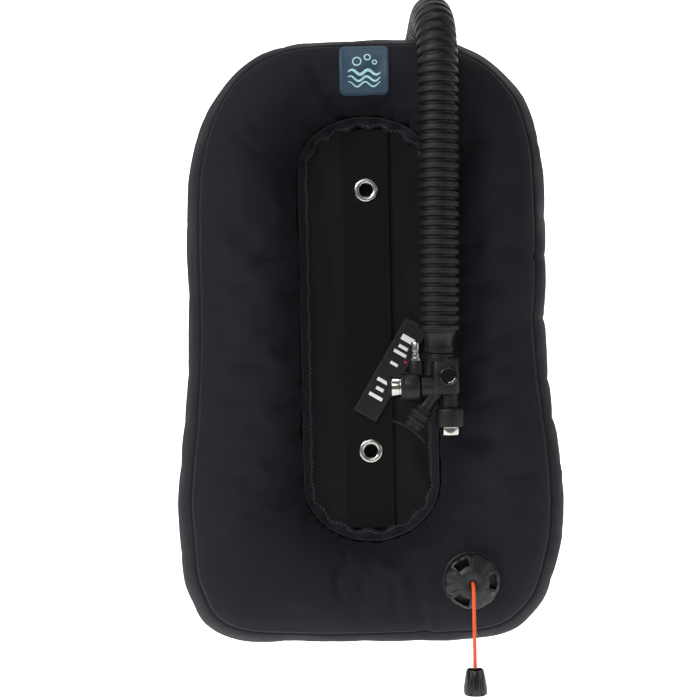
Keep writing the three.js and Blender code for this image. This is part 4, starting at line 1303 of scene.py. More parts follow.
@dataclass
class Badge:
    """The moulded badge on the front of the crown, with a plain wave motif."""

    shape: AirTube
    shell: Shell
    size: float = 52.0
    corner: float = 6.5
    thick: float = 1.4
    lift: float = 2.6
    cells: int = 44

    def build(self) -> None:
        """Makes the plate, its raised border and the motif on it."""
        self.middle_z = float(self.shape.middles[0][2]) + self.lift
        self.prepare()
        self.add_plate()
        self.add_marks()

    def prepare(self) -> None:
        """Collects the shell's front skin near the crown, to lay the badge on it."""
        grid = self.shell.grid[:, : self.shell.panel_cols + 1].reshape(-1, 3) / MM
        self.cloud = grid[(np.abs(grid[:, 0]) < 48) & (np.abs(grid[:, 2] - self.middle_z) < 40)]

    def depth_at(self, x: Array, z: Array) -> Array:
        """Y of the shell's skin at places on the front, smoothed over the nearest points."""
        far = (self.cloud[None, :, 0] - x.ravel()[:, None]) ** 2 + (self.cloud[None, :, 2] - z.ravel()[:, None]) ** 2
        weight = np.exp(-far / 40.0)
        return ((weight * self.cloud[None, :, 1]).sum(1) / weight.sum(1)).reshape(x.shape)

    def inside(self, x: Array, z: Array, shrink: float = 0.0) -> Array:
        """How far places lie inside the rounded square, in millimetres."""
        half, corner = self.size / 2 - shrink, self.corner
        qx, qz = np.abs(x) - half + corner, np.abs(z) - half + corner
        return -(np.hypot(np.maximum(qx, 0), np.maximum(qz, 0)) + np.minimum(np.maximum(qx, qz), 0) - corner)

    def rounded_grid(self) -> tuple[Array, Array]:
        """Places filling the rounded square, from its middle out to its edge."""
        angle = np.arange(4 * self.cells) * TAU / (4 * self.cells)
        half = self.size / 2
        c, s = np.cos(angle), np.sin(angle)
        reach = np.full(len(angle), 0.0)
        low, high = np.zeros(len(angle)), np.full(len(angle), half * 1.5)
        for _ in range(30):
            reach = (low + high) / 2
            inner = self.inside(reach * c, reach * s) > 0
            low, high = np.where(inner, reach, low), np.where(inner, high, reach)
        share = np.concatenate([np.linspace(0, 0.9, 16), np.linspace(0.915, 1, 10)])
        return share[:, None] * (reach * c)[None], share[:, None] * (reach * s)[None]

    def add_plate(self) -> None:
        """The blue plate with a thin raised border and a stitched groove."""
        x, z = self.rounded_grid()
        inside = self.inside(x, z)
        lift = 1.1 + 0.55 * np.exp(-(((inside - 2.6) / 0.75) ** 2)) - 0.9 * np.exp(-((inside / 0.5) ** 2))
        skin = self.depth_at(x, z + self.middle_z)
        front = np.stack([x, skin - self.thick - lift, z + self.middle_z], -1)
        back = np.stack([x[-1], skin[-1] + 2.0, z[-1] + self.middle_z], -1)[None]
        points = np.concatenate([front, back])
        faces = grid_faces(*points.shape[:2], False, True)
        solid_piece("badge_plate", (points.reshape(-1, 3) * MM, faces), BADGE_BLUE, Body.WING, ["badge_patch"])

    def ribbon(self, name: str, xs: Array, zs: Array, width: Array | float, lift: float = 0.55) -> None:
        """A raised light line on the badge.

        Args:
            name: the piece's name.
            xs: the line's X places in millimetres, from the badge's middle.
            zs: its Z places.
            width: its width at each place.
            lift: how far it stands out of the plate.
        """
        line = np.stack([xs, zs], 1)
        ahead = np.gradient(line, axis=0)
        ahead /= np.maximum(np.linalg.norm(ahead, axis=1, keepdims=True), 1e-9)
        side = np.stack([-ahead[:, 1], ahead[:, 0]], 1)
        width = np.broadcast_to(np.asarray(width, float), (len(xs),))
        across = np.array([-0.5, -0.42, 0, 0.42, 0.5])
        rise = np.array([-0.5, 0.85, 1.0, 0.85, -0.5]) * lift
        flat = line[:, None] + side[:, None] * across[None, :, None] * width[:, None, None]
        skin = self.depth_at(flat[..., 0], flat[..., 1] + self.middle_z)
        y = skin - self.thick - 1.1 - rise[None, :]
        points = np.stack([flat[..., 0], y, flat[..., 1] + self.middle_z], -1)
        solid_piece(name, (points.reshape(-1, 3) * MM, capped_faces(*points.shape[:2])), BADGE_LIGHT, Body.WING)

    def add_marks(self) -> None:
        """Three waves and three bubbles: a plain motif that stands for no maker."""
        t = np.linspace(0, 1, 60)
        for k, (z, wide) in enumerate(((-3.5, 3.4), (-10.0, 2.6), (-15.5, 1.9))):
            xs = -17 + 34 * t
            self.ribbon(f"badge_wave_{k}", xs, z + 2.4 * np.sin(TAU * 2 * t + 0.6 * k),
                        wide * (0.25 + 0.75 * np.sin(np.pi * t) ** 0.5))
        turn = np.linspace(0, TAU, 33)
        for k, (x, z, r) in enumerate(((-7.5, 8.0, 4.3), (3.5, 12.5, 3.1), (11.0, 7.0, 2.1))):
            self.ribbon(f"badge_bubble_{k}", x + r * np.cos(turn), z + r * np.sin(turn), 1.5)


@dataclass
class TagStrap:
    """The woven tag that lies over the webbing behind the inflator."""

    start: tuple[float, float] = (52.0, -4.0)
    end: tuple[float, float] = (-6.0, -102.0)
    width: float = 28.0
    thick: float = 1.5

    def build(self) -> None:
        """Makes the strap, its folded hem, its edge stitches and the printed bars."""
        a, b = np.array(self.start), np.array(self.end)
        self.length = float(np.linalg.norm(b - a))
        self.along = (b - a) / self.length
        self.side = np.array([-self.along[1], self.along[0]])
        self.origin = a
        self.add_strap()
        self.add_prints()

    def place(self, s: Array, t: Array, y: Array) -> Array:
        """Points at lengths along the strap, across it, and a Y, all in millimetres."""
        flat = self.origin + s[..., None] * self.along + t[..., None] * self.side
        return np.stack([flat[..., 0], y, flat[..., 1]], -1)

    def front(self, s: Array, t: Array) -> Array:
        """Y of the strap's front: a slight cup and a hem at its free end."""
        hem = smoothstep(self.length - 15, self.length - 13.5, s) * 0.75
        wave = 0.5 * np.sin(s / 17.0) * np.cos(t / 9.0)
        return -self.thick - 0.35 - hem - 0.25 * wave

    def add_strap(self) -> None:
        """The strap itself with its hem."""
        s, t = np.meshgrid(np.linspace(0, self.length, 120), np.linspace(-self.width / 2, self.width / 2, 34),
                           indexing="ij")
        points = self.place(s, t, self.front(s, t))
        sheet_piece("tag_strap_tape", points * MM, grid_faces(*s.shape), GROSGRAIN, 1.2, -1,
                    np.stack([t, s], -1) * MM, ["tag_strap"])
        inset = 1.6
        corners = [(2, -1), (self.length - inset, -1), (self.length - inset, 1), (2, 1)]
        path = np.concatenate([
            np.linspace((x0, y0 * (self.width / 2 - inset)), (x1, y1 * (self.width / 2 - inset)), 60, endpoint=False)
            for (x0, y0), (x1, y1) in zip(corners, corners[1:] + corners[:1])
        ])
        line = self.place(path[:, 0], path[:, 1], self.front(path[:, 0], path[:, 1])) * MM
        out = np.tile([0.0, -1.0, 0.0], (len(line), 1))
        dress(stitch_row("tag_strap_stitches", line, out, 2.6, 0, 0.5), THREAD)

    def add_prints(self) -> None:
        """Plain printed bars across the strap, and a small red tab."""
        bars = ((20, 6.5, 15), (30, 3.6, 11), (37, 3.6, 15), (50, 3.2, 9), (72, 3.8, 16), (81, 3.8, 9), (90, 3.8, 16))
        for k, (s0, wide, tall) in enumerate(bars):
            self.patch(f"tag_bar_{k}", s0, 0.0, wide, tall, PRINT_WHITE)
        self.patch("tag_red_dot", 42.5, 9.5, 2.6, 2.6, LABEL_RED)

    def patch(self, name: str, s0: float, t0: float, long: float, tall: float, finish: Finish) -> None:
        """A thin printed patch on the strap, centred at a length along it and a place across it."""
        s, t = np.meshgrid(s0 + np.linspace(-long / 2, long / 2, 8), t0 + np.linspace(-tall / 2, tall / 2, 12),
                           indexing="ij")
        points = self.place(s, t, self.front(s, t) - 0.12)
        sheet_piece(name, points * MM, grid_faces(*s.shape), finish, 0.1, -1)


@dataclass
class Zip:
    """The zip on the back: two tapes, the teeth and the slider with its pull."""

    shape: AirTube
    top: float = 130.0
    bottom: float = -100.0
    half_angle: float = 8.0
    tooth_pitch: float = 2.4

    def build(self) -> None:
        """Makes the tape, the teeth and the slider."""
        rows = 140
        z = np.linspace(self.bottom, self.top, rows)
        near = np.where(self.shape.outer_line[:, 0] > 0)[0]
        order = near[np.argsort(self.shape.outer_line[near, 2])]
        index = np.interp(z, self.shape.outer_line[order, 2], order)
        turn = 90 + np.linspace(-self.half_angle, self.half_angle, 15)
        row, angle = np.meshgrid(index, turn, indexing="ij")
        points = self.shape.skin(row, angle, -2.2)
        middle = np.abs(angle - 90) < 0.5
        points[..., 1] -= 0.5 * middle
        uv = np.stack([(angle - 90) * 1.1, z[:, None] + 0 * angle], -1)
        sheet_piece("zip_tape", points * MM, grid_faces(*row.shape), GROSGRAIN, 1.4, 1, uv * MM, ["access_zip"])
        self.add_teeth(z, index)
        self.add_slider()

    def add_teeth(self, z: Array, index: Array) -> None:
        """Two rows of moulded teeth that mesh along the middle."""
        parts = []
        size = np.array([2.0, 0.8, 0.9])
        signs = np.array([(i, j, l) for i in (-1, 1) for j in (-1, 1) for l in (-1, 1)], float)
        quads = [(0, 1, 3, 2), (4, 6, 7, 5), (0, 4, 5, 1), (2, 3, 7, 6), (0, 2, 6, 4), (1, 5, 7, 3)]
        count = int((self.top - self.bottom - 6) / self.tooth_pitch)
        for k in range(2 * count):
            at = self.bottom + 3 + k * self.tooth_pitch / 2
            centre = self.shape.skin(np.array(np.interp(at, z, index)), np.array(90.0), -2.6)
            side = 1 if k % 2 else -1
            corners = centre + np.array([side * 1.3, 0.3, 0]) + signs * size / 2
            parts.append((corners * MM, quads))
        solid_piece("zip_teeth", joined(parts), MOULDED, Body.WING, smooth=False)

    def add_slider(self) -> None:
        """The slider's waisted body and its pull tab."""
        low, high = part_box("zip_slider")
        middle = (low + high) / 2
        size = high - low
        t = np.linspace(0, 1, 25)
        half = np.linspace(0.8, 1.0, 25) * (0.5 - 0.14 * np.sin(math.pi * t))
        ring = np.stack([np.append(half, -half[::-1]), np.append(t, t[::-1])], 1)
        deep = [(0.92, 0.0), (1.0, 0.12), (1.0, 0.5), (0.9, 0.62)]
        rows = [
            np.stack([middle.x + ring[:, 0] * size.x * k, np.full(len(ring), low.y + size.y * d),
                      low.z + ((ring[:, 1] - 0.5) * k + 0.5) * size.z], 1)
            for k, d in deep
        ]
        body = (np.concatenate(rows), capped_faces(len(rows), len(ring)))
        solid_piece("zip_slider_body", body, CHROME, Body.ZIP_SLIDER, ["zip_slider"], 0.3)
        tab = np.array([(-2.2, 1), (2.2, 1), (2.9, -10), (1.8, -12.5), (-1.8, -12.5), (-2.9, -10)]) * MM
        y = low.y + size.y * np.array([0.66, 0.9])
        base = np.array([(middle.x + x, yy, middle.z + z) for yy in y for x, z in tab])
        solid_piece("zip_pull_tab", (base, capped_faces(2, len(tab))), CHROME, Body.ZIP_SLIDER, (), 0.4, False)


# ---- hose


HOSE_ROUTE = [
    (0.0510, 0.0754, 0.2747), (0.0538, 0.0754, 0.2775), (0.0574, 0.0746, 0.2816), (0.0622, 0.0708, 0.2898),
    (0.0660, 0.0610, 0.3020), (0.0690, 0.0450, 0.3130), (0.0705, 0.0250, 0.3205), (0.0715, 0.0040, 0.3230),
    (0.0722, -0.0180, 0.3205), (0.0730, -0.0400, 0.3120), (0.0738, -0.0570, 0.2985), (0.0743, -0.0670, 0.2810),
    (0.0745, -0.0720, 0.2620), (0.0745, -0.0730, 0.2430), (0.0743, -0.0730, 0.2240), (0.0740, -0.0730, 0.2050),
    (0.0734, -0.0730, 0.1600), (0.0728, -0.0730, 0.1150), (0.0720, -0.0730, 0.0700), (0.0712, -0.0730, 0.0250),
    (0.0704, -0.0730, -0.0153),
]

CORD_ROUTE = [(0.0997, y, z) for y, z in (
    (-0.0590, -0.2698), (-0.0670, -0.2698), (-0.0760, -0.2698), (-0.0805, -0.2702), (-0.0836, -0.2719),
    (-0.0854, -0.2750), (-0.0860, -0.2795), (-0.0862, -0.2880), (-0.0863, -0.3000), (-0.0863, -0.3130),
    (-0.0863, -0.3270), (-0.0863, -0.3410), (-0.0863, -0.3550),
)]


@dataclass
class Hose:
    """The corrugated hose over the top of the wing, with the elbow that it leaves and its two cuffs."""

    radius: float = 20.8
    valley: float = 17.3
    pitch: float = 9.66
    sides: int = 64
    length: float = 0.483
    turn: Point = (0.0337, 0.0754, 0.2574)
    face: float = 51.9
    pipe: float = 15.0
    bore: float = 12.4

    def build(self) -> None:
        """Makes the hose and the pieces at its ends."""
        self.add_elbow()
        self.add_cuffs()
        self.add_hose()

    def add_hose(self) -> None:
        """One ribbed tube, bending between the wing and the inflator."""
        line = catmull(HOSE_ROUTE, self.pitch * MM / 14)
        reach = length_along(line) / MM
        phase = (reach[-1] - reach) / self.pitch
        wave = 0.5 - 0.5 * np.cos(TAU * phase)
        flat = smoothstep(0.05, 0.6, wave)
        ends = smoothstep(0, 5, reach) * smoothstep(0, 4, reach[-1] - reach)
        radii = (self.valley + (self.radius - self.valley) * flat * ends) * MM
        obj = mesh_object("corrugated_hose", *tube(line, radii, self.sides))
        dress(obj, RUBBER_HOSE, None, ["hose_upper", "hose_bend", "hose_lower"])
        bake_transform(obj)

    def outlet(self) -> Matrix:
        """The elbow's outlet as a matrix whose +Z runs along it."""
        return Matrix.Translation(self.turn) @ Matrix.Rotation(math.radians(45), 4, "Y")

    def add_elbow(self) -> None:
        """A flanged elbow on the back of the crown, its dome ribbed like a moulding."""
        face, pipe, bore, lift = self.face, self.pipe, self.bore, self.turn[1] / MM
        centre = (self.turn[0], 0.0, self.turn[2])
        flange = [(pipe, face - 12), (pipe, face), (22.2, face), (23, face + 0.8), (23, face + 2.6),
                  (22.2, face + 3.5), (18.2, face + 3.9), (16.6, face + 5.6), (15.4, face + 9), (pipe, face + 14),
                  (pipe, lift), (bore, lift), (bore, face - 12), (pipe, face - 12)]
        turned_piece("elbow_flange", flange, Axis.Y, centre, MOULDED, Body.WING, ["elbow"], 0.3)
        ball = pipe + 0.05
        dome = [(ball * math.sin(a), ball * math.cos(a)) for a in np.linspace(0.08, math.pi - 0.08, 30)]
        dome = [(0.0, ball), *dome, (0.0, -ball)]
        turned_piece("elbow_bend", dome, Axis.Y, self.turn, MOULDED, Body.WING, edge=0)
        outlet = tilted(turned([(bore, 0), (pipe, 0), (pipe, 24), (bore, 24), (bore, 0)]), self.outlet())
        solid_piece("elbow_outlet", outlet, MOULDED, Body.WING, (), 0.3)
        grips = [placed(self.grip_lug(a, face), Axis.Y, centre) for a in np.arange(8) * TAU / 8]
        solid_piece("elbow_flange_lugs", joined(grips), MOULDED, Body.WING, (), 0.3)
        finish_nodes({"elbow_gasket": SOFT_RUBBER, "elbow_ring_nut": MOULDED})

    @staticmethod
    def grip_lug(angle: float, face: float) -> Shape:
        """A small raised lug on the flange, for a spanner, along +Z before it is placed."""
        turn = np.array([[math.cos(angle), math.sin(angle)], [-math.sin(angle), math.cos(angle)]])
        plan = np.array([(18.8, -1.6), (21.9, -1.6), (21.9, 1.6), (18.8, 1.6)]) @ turn
        points = np.array([(x, y, h) for h in (face + 3.0, face + 5.0) for x, y in plan]) * MM
        return points, capped_faces(2, len(plan))

    def add_cuffs(self) -> None:
        """The plain cuffs at the hose's ends and the ties round them."""
        inner = 15.3
        top = [(inner, 15.6), (inner + 1.6, 15.6), (inner + 2.4, 16.4), (inner + 2.4, 22.8), (inner + 1.6, 23.7),
               (inner, 23.7), (inner, 15.6)]
        solid_piece("elbow_hose_cuff", tilted(turned(top), self.outlet()), RUBBER_HOSE, Body.WING,
                    ["upper_hose_cuff"])
        low = [(inner + 2.7, 17.0), (inner + 3.7, 17.0), (inner + 4.0, 17.4), (inner + 4.0, 21.1),
               (inner + 3.7, 21.5), (inner + 2.7, 21.5), (inner + 2.7, 17.0)]
        solid_piece("elbow_hose_tie", tilted(turned(low), self.outlet()), MOULDED, Body.WING, ["upper_hose_tie"])
        end = (0.0704, -0.0730, 0.0)
        profile = [(11.3, -15.6), (11.3, -36.2), (13.0, -36.2), (13.4, -35.7), (13.6, -31.0), (14.1, -24.0),
                   (15.0, -20.0), (16.6, -17.4), (17.6, -15.6), (11.3, -15.6)]
        turned_piece("hose_end_cuff", profile, Axis.Z, end, RUBBER_HOSE, Body.INFLATOR, ["lower_hose_cuff"], 0.3)
        band = [(13.7, -34.5), (14.7, -34.5), (15.0, -34.1), (15.0, -30.4), (14.7, -30.0), (13.7, -30.0),
                (13.7, -34.5)]
        turned_piece("hose_end_tie", band, Axis.Z, end, MOULDED, Body.INFLATOR, ["lower_hose_tie"], 0.12)


# ---- power inflator


@dataclass
class Inflator:
    """The hand-held end of the hose: a block with an inflate arm, a deflate valve and an oral tube."""

    depth: float = -0.0730
    arm_z: float = -70.0
    middle_x: float = 76.0
    width: float = 27.0
    thick: float = 26.0
    top: float = -41.5
    bottom: float = -77.6
    deflate_x: float = 80.0
    nipple_x: float = 46.6
    oral_angle: float = 54.3
    flange_bow: float = 5.0

    def at(self, x: float, z: float = 0.0) -> Point:
        """A point on the inflator's middle plane, from millimetres."""
        return (x * MM, self.depth, z * MM)

    def build(self) -> None:
        """Makes every piece of the inflator."""
        self.add_block()
        self.add_inflate_side()
        self.add_deflate_side()
        self.add_oral_side()

    def block_ring(self, grow: float, z: float) -> Array:
        """The block's rounded outline at a height, grown by a length."""
        w, d, corner = self.width / 2 + grow, self.thick / 2 + grow, 5.5
        ring = []
        for cx, cy, start in ((w, d, 0), (-w, d, 90), (-w, -d, 180), (w, -d, 270)):
            for a in np.radians(start + np.linspace(0, 90, 9)):
                ring.append((
                    (self.middle_x + cx - math.copysign(corner, cx) + corner * math.cos(a)) * MM,
                    self.depth + (cy - math.copysign(corner, cy) + corner * math.sin(a)) * MM,
                    z * MM,
                ))
        return np.array(ring)

    def add_block(self) -> None:
        """The block with rounded ends, its collar, the round cover and the lower neck."""
        rows = [(-1.6, self.bottom), (-0.5, self.bottom + 0.4), (0, self.bottom + 1.6), (0, self.top - 1.6),
                (-0.5, self.top - 0.4), (-1.6, self.top)]
        rings = [self.block_ring(grow, z) for grow, z in rows]
        block = mesh_object("inflator_block", np.concatenate(rings), capped_faces(len(rings), len(rings[0])))
        tidy_ends(block)
        split_edges(block, 40)
        dress(block, MOULDED, Body.INFLATOR, ["inflator_body"])
        collar = [(8, -44.5), (13.9, -44.5), (14.3, -44.0), (14.3, -40.5), (13.9, -40.0), (13.9, -37.6),
                  (13.4, -36.9), (11.0, -36.5), (11.0, -18), (8, -18), (8, -44.5)]
        turned_piece("inflator_collar", collar, Axis.Z, self.at(70.4), MOULDED, Body.INFLATOR)
        neck = [(6.3, -91.7), (8.7, -91.7), (8.7, -77.0), (9.6, -75.8), (6.3, -75.8), (6.3, -91.7)]
        turned_piece("inflator_neck", neck, Axis.Z, self.at(self.deflate_x), MOULDED, Body.INFLATOR)
        front = self.depth / MM - self.thick / 2 - 0.3
        disc = [(0, front - 3.0), (7.6, front - 3.1), (8.3, front - 3.3), (9.0, front - 2.9), (9.4, front - 2.2),
                (9.4, front), (0, front)]
        turned_piece("inflator_cover_disc", disc, Axis.Y, ((self.middle_x + 2.5) * MM, 0, -0.0595),
                     GLOSS_DISC, Body.INFLATOR, ["inflator_disc"], 0.15)
        self.add_disc_arc(front)

    def add_disc_arc(self, front: float) -> None:
        """A plain raised arc on the round cover."""
        turn = np.linspace(math.radians(-95), math.radians(-15), 22)
        line = np.stack([self.middle_x + 2.5 + 6.4 * np.cos(turn), np.full(22, front - 3.0),
                         -59.5 + 6.4 * np.sin(turn)], 1) * MM
        dress(mesh_object("cover_disc_arc", *tube(line, 0.32 * MM, 8)), PRINT_WHITE, Body.INFLATOR)

    def add_inflate_side(self) -> None:
        """The arm, the inflate housing, its button and the quick-release nipple."""
        place = self.at(0, self.arm_z)
        arm = [(4, 50.2), (9.8, 50.2), (11.4, 51.6), (11.6, 53.5), (11.6, 71), (4, 71), (4, 50.2)]
        turned_piece("inflate_arm", arm, Axis.X, place, MOULDED, Body.INFLATOR)
        left, right, seat = 30.6, 49.9, 42.6
        housing = [(11.3, left), (14.2, left), (15.0, left + 0.6), (15.2, left + 1.6), (15.2, left + 3.0),
                   (14.9, left + 3.5), (14.9, left + 4.1), (15.2, left + 4.6), (15.2, right - 2.2),
                   (14.2, right - 0.4), (13.2, right), (2.5, right), (2.5, seat), (11.3, seat), (11.3, left)]
        turned_piece("inflate_valve_housing", housing, Axis.X, place, MOULDED, Body.INFLATOR,
                     ["inflate_housing"], 0.25)
        boss = [(0, -57.0), (8.1, -57.0), (8.1, -46.0), (7.6, -44.2), (6.9, -43.6), (0, -43.6)]
        turned_piece("nipple_boss", boss, Axis.Z, self.at(self.nipple_x), MOULDED, Body.INFLATOR)
        base = -43.3
        nipple = [(0, base), (6.3, base), (6.3, base + 2.6), (5.9, base + 3.1), (4.75, base + 3.3),
                  (4.75, base + 7.2), (3.8, base + 7.9), (3.65, base + 8.7), (3.8, base + 9.5), (4.75, base + 10.4),
                  (4.75, base + 17.8), (4.35, base + 18.8), (4.0, base + 19), (2, base + 19), (2, base + 5),
                  (0, base + 5)]
        turned_piece("nipple_steel", nipple, Axis.Z, self.at(self.nipple_x), STEEL, Body.INFLATOR,
                     ["quick_release_nipple"], 0.12)
        face, shoulder = left - 10, left + 4
        button = [(0, face), (10.2, face), (10.9, face + 0.7), (11.0, face + 1.2), (11.0, face + 8.3),
                  (10.7, face + 8.7), (10.7, face + 9.2), (11.0, face + 9.6), (11.0, shoulder), (2.2, shoulder),
                  (2.2, right + 4), (0, right + 4)]
        turned_piece("inflate_button_chrome", button, Axis.X, place, CHROME, Body.INFLATE_BUTTON,
                     ["inflate_button"], 0.12)
        cap_end = face - 0.3
        cap = [(0, cap_end - 3.1), (5.0, cap_end - 3.2), (8.6, cap_end - 3.6), (10.2, cap_end - 3.2),
               (11.0, cap_end - 2.2), (11.0, cap_end), (0, cap_end)]
        turned_piece("inflate_button_face", cap, Axis.X, place, SOFT_RUBBER, Body.INFLATE_BUTTON,
                     ["inflate_button_cap"], 0.15)
        finish_nodes({"deflate_seal": SOFT_RUBBER})

    def add_deflate_side(self) -> None:
        """The deflate valve under the neck, with its chrome button."""
        top, bottom = -92.0, -111.3
        seat = bottom + 12
        housing = [(10.4, bottom), (13.4, bottom), (14.3, bottom + 0.6), (14.6, bottom + 1.6), (14.6, top - 3.0),
                   (14.2, top - 1.4), (13.0, top - 0.2), (12.2, top), (2.5, top), (2.5, seat), (10.4, seat),
                   (10.4, bottom)]
        place = self.at(self.deflate_x)
        turned_piece("deflate_valve_housing", housing, Axis.Z, place, MOULDED, Body.INFLATOR,
                     ["deflate_housing"], 0.25)
        end = bottom - 8.5
        button = [(0, end), (8.9, end), (9.8, end + 0.5), (10.1, end + 1.3), (10.1, end + 6.9), (9.8, end + 7.3),
                  (9.8, end + 7.8), (10.1, end + 8.2), (10.1, bottom + 4.5), (2.2, bottom + 4.5), (2.2, top + 9),
                  (0, top + 9)]
        turned_piece("deflate_button_chrome", button, Axis.Z, place, CHROME, Body.DEFLATE_BUTTON,
                     ["deflate_button"], 0.12)

    def oral(self) -> Matrix:
        """The oral tube as a matrix whose +Z runs out along it."""
        turn = -math.radians(90 + self.oral_angle)
        return Matrix.Translation((0.063, self.depth, -0.080)) @ Matrix.Rotation(turn, 4, "Y")

    def add_oral_side(self) -> None:
        """The oral tube and the soft mouthpiece with its two rings and its curved flange."""
        pipe = [(5.5, -8), (8.6, -8), (8.2, -2), (7.5, 3), (7.5, 20), (5.5, 20), (5.5, -8)]
        solid_piece("oral_tube", tilted(turned(pipe), self.oral()), MOULDED, Body.INFLATOR, (), 0.25)
        sleeve = [(7.8, 14), (9.7, 14), (10.0, 14.5), (10.0, 19.6), (11.5, 20.5), (11.8, 21.2), (11.8, 23.6),
                  (11.4, 24.2), (10.2, 25), (10.0, 25.6), (10.0, 27.8), (11.4, 28.8), (11.8, 29.5), (11.8, 31.6),
                  (11.2, 32.4), (9.8, 33.1), (9.6, 34), (9.6, 39), (10.4, 40.0), (6.2, 40.0), (6.2, 20.4),
                  (7.8, 20.4), (7.8, 14)]
        solid_piece("mouthpiece_sleeve", tilted(turned(sleeve), self.oral()), SOFT_RUBBER, Body.INFLATOR,
                    ["mouthpiece"])
        self.add_flange()

    def add_flange(self) -> None:
        """The bite flange, an oval shield that curves back at its ends."""
        turns, rings = 72, 10
        angle = np.arange(turns) * TAU / turns
        share = np.linspace(0, 1, rings)[:, None]
        wide, tall, hole = 21.4, 12.0, 6.2
        x = (hole + (wide - hole) * share) * np.cos(angle)
        y = (hole + (tall - hole) * share) * np.sin(angle)
        bow = 39.2 + self.flange_bow * (np.abs(x) / wide) ** 2
        thick = 1.5 * np.sqrt(np.clip(1 - share**6, 0.04, 1)) * np.ones_like(x)
        front = np.stack([x, y, bow + thick * 1.1], -1)
        back = np.stack([x, y, bow - thick * 0.6], -1)[::-1]
        points = np.concatenate([front, back]).reshape(-1, 3) * MM
        shape = tilted((points, grid_faces(2 * rings, turns, True, True)), self.oral())
        solid_piece("mouthpiece_flange", shape, SOFT_RUBBER, Body.INFLATOR)


# ---- dump valve


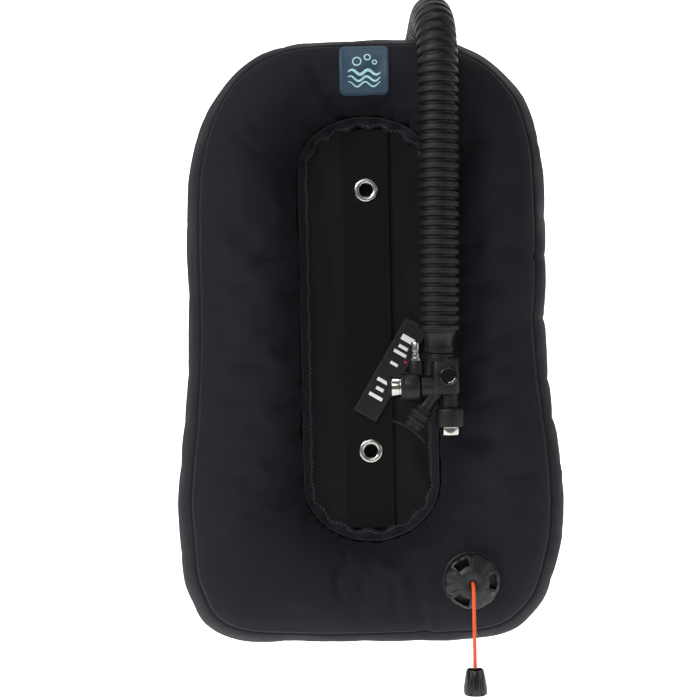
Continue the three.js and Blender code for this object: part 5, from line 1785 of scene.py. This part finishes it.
@dataclass
class DumpValve:
    """The pull dump: flange, scalloped cap with six windows, spring, poppet, cord and fluted toggle."""

    centre: Point = (0.0997, 0.0, -0.2698)
    face: float = -59.35
    cap_height: float = 18.5
    windows: int = 6
    flutes: int = 12
    cord_radius: float = 1.8
    cord_length: float = 0.109
    cord_step: float = 0.6

    def build(self) -> None:
        """Makes every piece of the valve."""
        front = self.face - 3
        floor = self.face + 6
        flange = [(10, floor + 2), (10, floor), (14, floor), (14, front), (28.4, front), (29.3, front + 0.6),
                  (29.5, front + 1.4), (29.5, self.face), (19.5, self.face), (19.5, floor + 2), (10, floor + 2)]
        turned_piece("dump_base_flange", flange, Axis.Y, self.centre, VALVE_MOULDED, Body.WING, ["dump_flange"],
                     0.3, 96)
        self.add_cap(front - 0.3)
        self.add_toggle()
        self.add_cord()
        finish_nodes({"dump_gasket": SOFT_RUBBER, "dump_ring_nut": VALVE_MOULDED, "dump_seal": SOFT_RUBBER,
                      "dump_poppet": VALVE_MOULDED})

    def add_cap(self, base: float) -> None:
        """The domed cap: its rim is scalloped, and three windows are open and three are recessed."""
        turns = 240
        crown = base - self.cap_height
        outer = [(2.9, crown + 2.9), (2.9, crown + 0.9), (4.4, crown + 0.25), (10.5, crown), (12.6, crown + 0.35),
                 (14.0, crown + 0.8), (16.0, crown + 1.3), (18.5, crown + 2.0), (20.5, crown + 2.9),
                 (22.5, crown + 4.0), (24.5, crown + 5.4), (26.4, crown + 7.2), (27.7, crown + 9.2),
                 (28.4, crown + 11.5), (28.5, crown + 14), (28.5, base - 0.8), (28.1, base)]
        inner = [(26.1, base), (26.1, base - 7), (24, crown + 8.5), (20.5, crown + 5.8), (16, crown + 4.0),
                 (10, crown + 3.1)]
        line = np.array([*outer, *inner])
        angle = np.arange(turns) * TAU / turns
        radius = np.repeat(line[:, :1], turns, 1)
        height = np.repeat(line[:, 1:], turns, 1)
        shell = (np.arange(len(line)) < len(outer))[:, None]
        grip = smoothstep(21, 27, radius) * shell
        bite = np.abs(np.cos(angle * self.flutes / 2))[None, :] ** 6
        radius = radius - grip * 1.5 * bite
        window = self.window_mask(angle)
        band = smoothstep(14.6, 16.5, line[:, :1]) * smoothstep(27.0, 25.4, line[:, :1]) * shell
        height = height + band * window[None, :] * 1.5
        points = np.stack([radius * np.cos(angle), radius * np.sin(angle), height], -1).reshape(-1, 3) * MM
        faces = grid_faces(len(line), turns, True, True)
        obj = mesh_object("dump_cap_dome", *placed((points, faces), Axis.Y, self.centre))
        tidy_ends(obj)
        for number in (0, 2, 4):
            boolean_cut(obj, self.window_tool(number, crown))
        split_edges(obj, 38)
        dress(obj, VALVE_MOULDED, Body.WING, ["dump_cap"])

    def window_angle(self, number: int) -> float:
        """The middle of a window, as an angle round the valve's axis."""
        return math.radians(120 - 60 * number)

    def window_mask(self, angle: Array) -> Array:
        """1 inside a window's span and 0 between them."""
        total = np.zeros_like(angle)
        for number in range(self.windows):
            off = np.abs((angle - self.window_angle(number) + math.pi) % TAU - math.pi)
            total = np.maximum(total, smoothstep(math.radians(25.5), math.radians(23), off))
        return total

    def window_tool(self, number: int, crown: float) -> Piece:
        """A curved block that cuts one open window through the dome."""
        middle = self.window_angle(number)
        near, far, low, high = 17.2, 25.2, crown - 3, crown + 12
        turns = middle + np.radians(np.linspace(-20, 20, 13))
        section = ((near, low), (far, low), (far, high), (near, high))
        points = np.array([(r * math.cos(a), r * math.sin(a), h) for a in turns for r, h in section]) * MM
        shape = placed((points, capped_faces(len(turns), len(section))), Axis.Y, self.centre)
        tool = mesh_object("window_tool", *shape, smooth=False)
        tidy_ends(tool)
        return tool

    def add_cord(self) -> None:
        """The braided pull cord, out of the cap and down to the toggle."""
        line = catmull(CORD_ROUTE, self.cord_step * MM)
        reach = np.arange(len(line)) * self.cord_step
        sides = 20
        points, faces = tube(line, self.cord_radius * MM, sides)
        ring = points.reshape(len(line), sides, 3)
        angle = np.arange(sides) * TAU / sides
        braid = np.sin(4 * angle[None] + reach[:, None] * 1.5) * np.sin(4 * angle[None] - reach[:, None] * 1.5)
        ring += (ring - line[:, None]) * (0.07 * braid)[..., None]
        obj = mesh_object("braided_cord", ring.reshape(-1, 3), faces)
        dress(obj, BRAID, None, ["pull_cord"])
        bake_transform(obj)

    def add_toggle(self) -> None:
        """The fluted cone on the cord's end, hollowed where the cord goes in."""
        x, y, z = (v / MM for v in CORD_ROUTE[-1])
        top = z - 0.3
        profile = [(2.2, top - 3.4), (5.0, top - 2.2), (7.2, top - 0.6), (8.4, top - 0.2), (9.2, top - 1.4),
                   (10.6, top - 10), (11.9, top - 18), (12.2, top - 22), (12.1, top - 24.2), (11.2, top - 25.5),
                   (0.0, top - 25.5)]
        turns = 144
        line = np.array([(0.0, top - 3.4), *profile])
        angle = np.arange(turns) * TAU / turns
        side = smoothstep(8.3, 9.4, line[:, :1]) * (line[:, 1:] > top - 25.3)
        flute = np.clip(np.cos(6 * angle), 0, 1)[None, :] ** 1.4
        radius = line[:, :1] - side * 1.9 * flute
        rim = 0.9 * np.cos(2 * angle)[None] * smoothstep(6.0, 9.0, line[:, :1]) * (line[:, 1:] > top - 2)
        height = line[:, 1:] - np.abs(rim)
        points = np.stack([radius * np.cos(angle), radius * np.sin(angle), np.broadcast_to(height, radius.shape)], -1)
        obj = mesh_object("toggle_fluted", points.reshape(-1, 3) * MM + np.array([x, y, 0]) * MM,
                          grid_faces(len(line), turns, False, True))
        tidy_ends(obj)
        split_edges(obj, 45)
        dress(obj, TOGGLE_GLOSS, Body.TOGGLE, ["pull_toggle"])


@dataclass
class Springs:
    """The three valve springs. Fields: body, joint, axis and travel in mm."""

    springs: dict[str, tuple[Body, str, int, float]] = field(
        default_factory=lambda: {
            "inflate_spring": (Body.INFLATOR, "inflate_press", 0, 4.0),
            "deflate_spring": (Body.INFLATOR, "deflate_press", 2, 4.0),
            "dump_spring": (Body.WING, "toggle_pull", 1, -5.0),
        }
    )

    def build(self) -> None:
        """Winds each spring as its solid is wound, and works out its fixed end."""
        for node, (body, joint, axis, travel) in self.springs.items():
            low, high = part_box(node)
            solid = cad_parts[node]
            points = np.array([solid.matrix_world @ v.co for v in solid.data.vertices])
            faces = [list(f.vertices) for f in solid.data.polygons]
            coil = solid_piece(f"{node}_coil", (points, faces), SPRING, body, [node])
            anchor = [(a + b) / 2 for a, b in zip(low, high)]
            anchor[axis] = high[axis] if travel > 0 else low[axis]
            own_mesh(coil)


# ---- main


def main() -> None:
    """Builds the stage and each sub-assembly in order."""
    logging.basicConfig(level=logging.INFO, format="%(message)s")
    Studio().build()
    shape = AirTube()
    DumpValve().build()
    Hose().build()
    shell = Shell(shape)
    shell.build()
    Centre(shape).build()
    Badge(shape, shell).build()
    TagStrap().build()
    Zip(shape).build()
    Inflator().build()
    Springs().build()


if __name__ == "__main__":
    main()
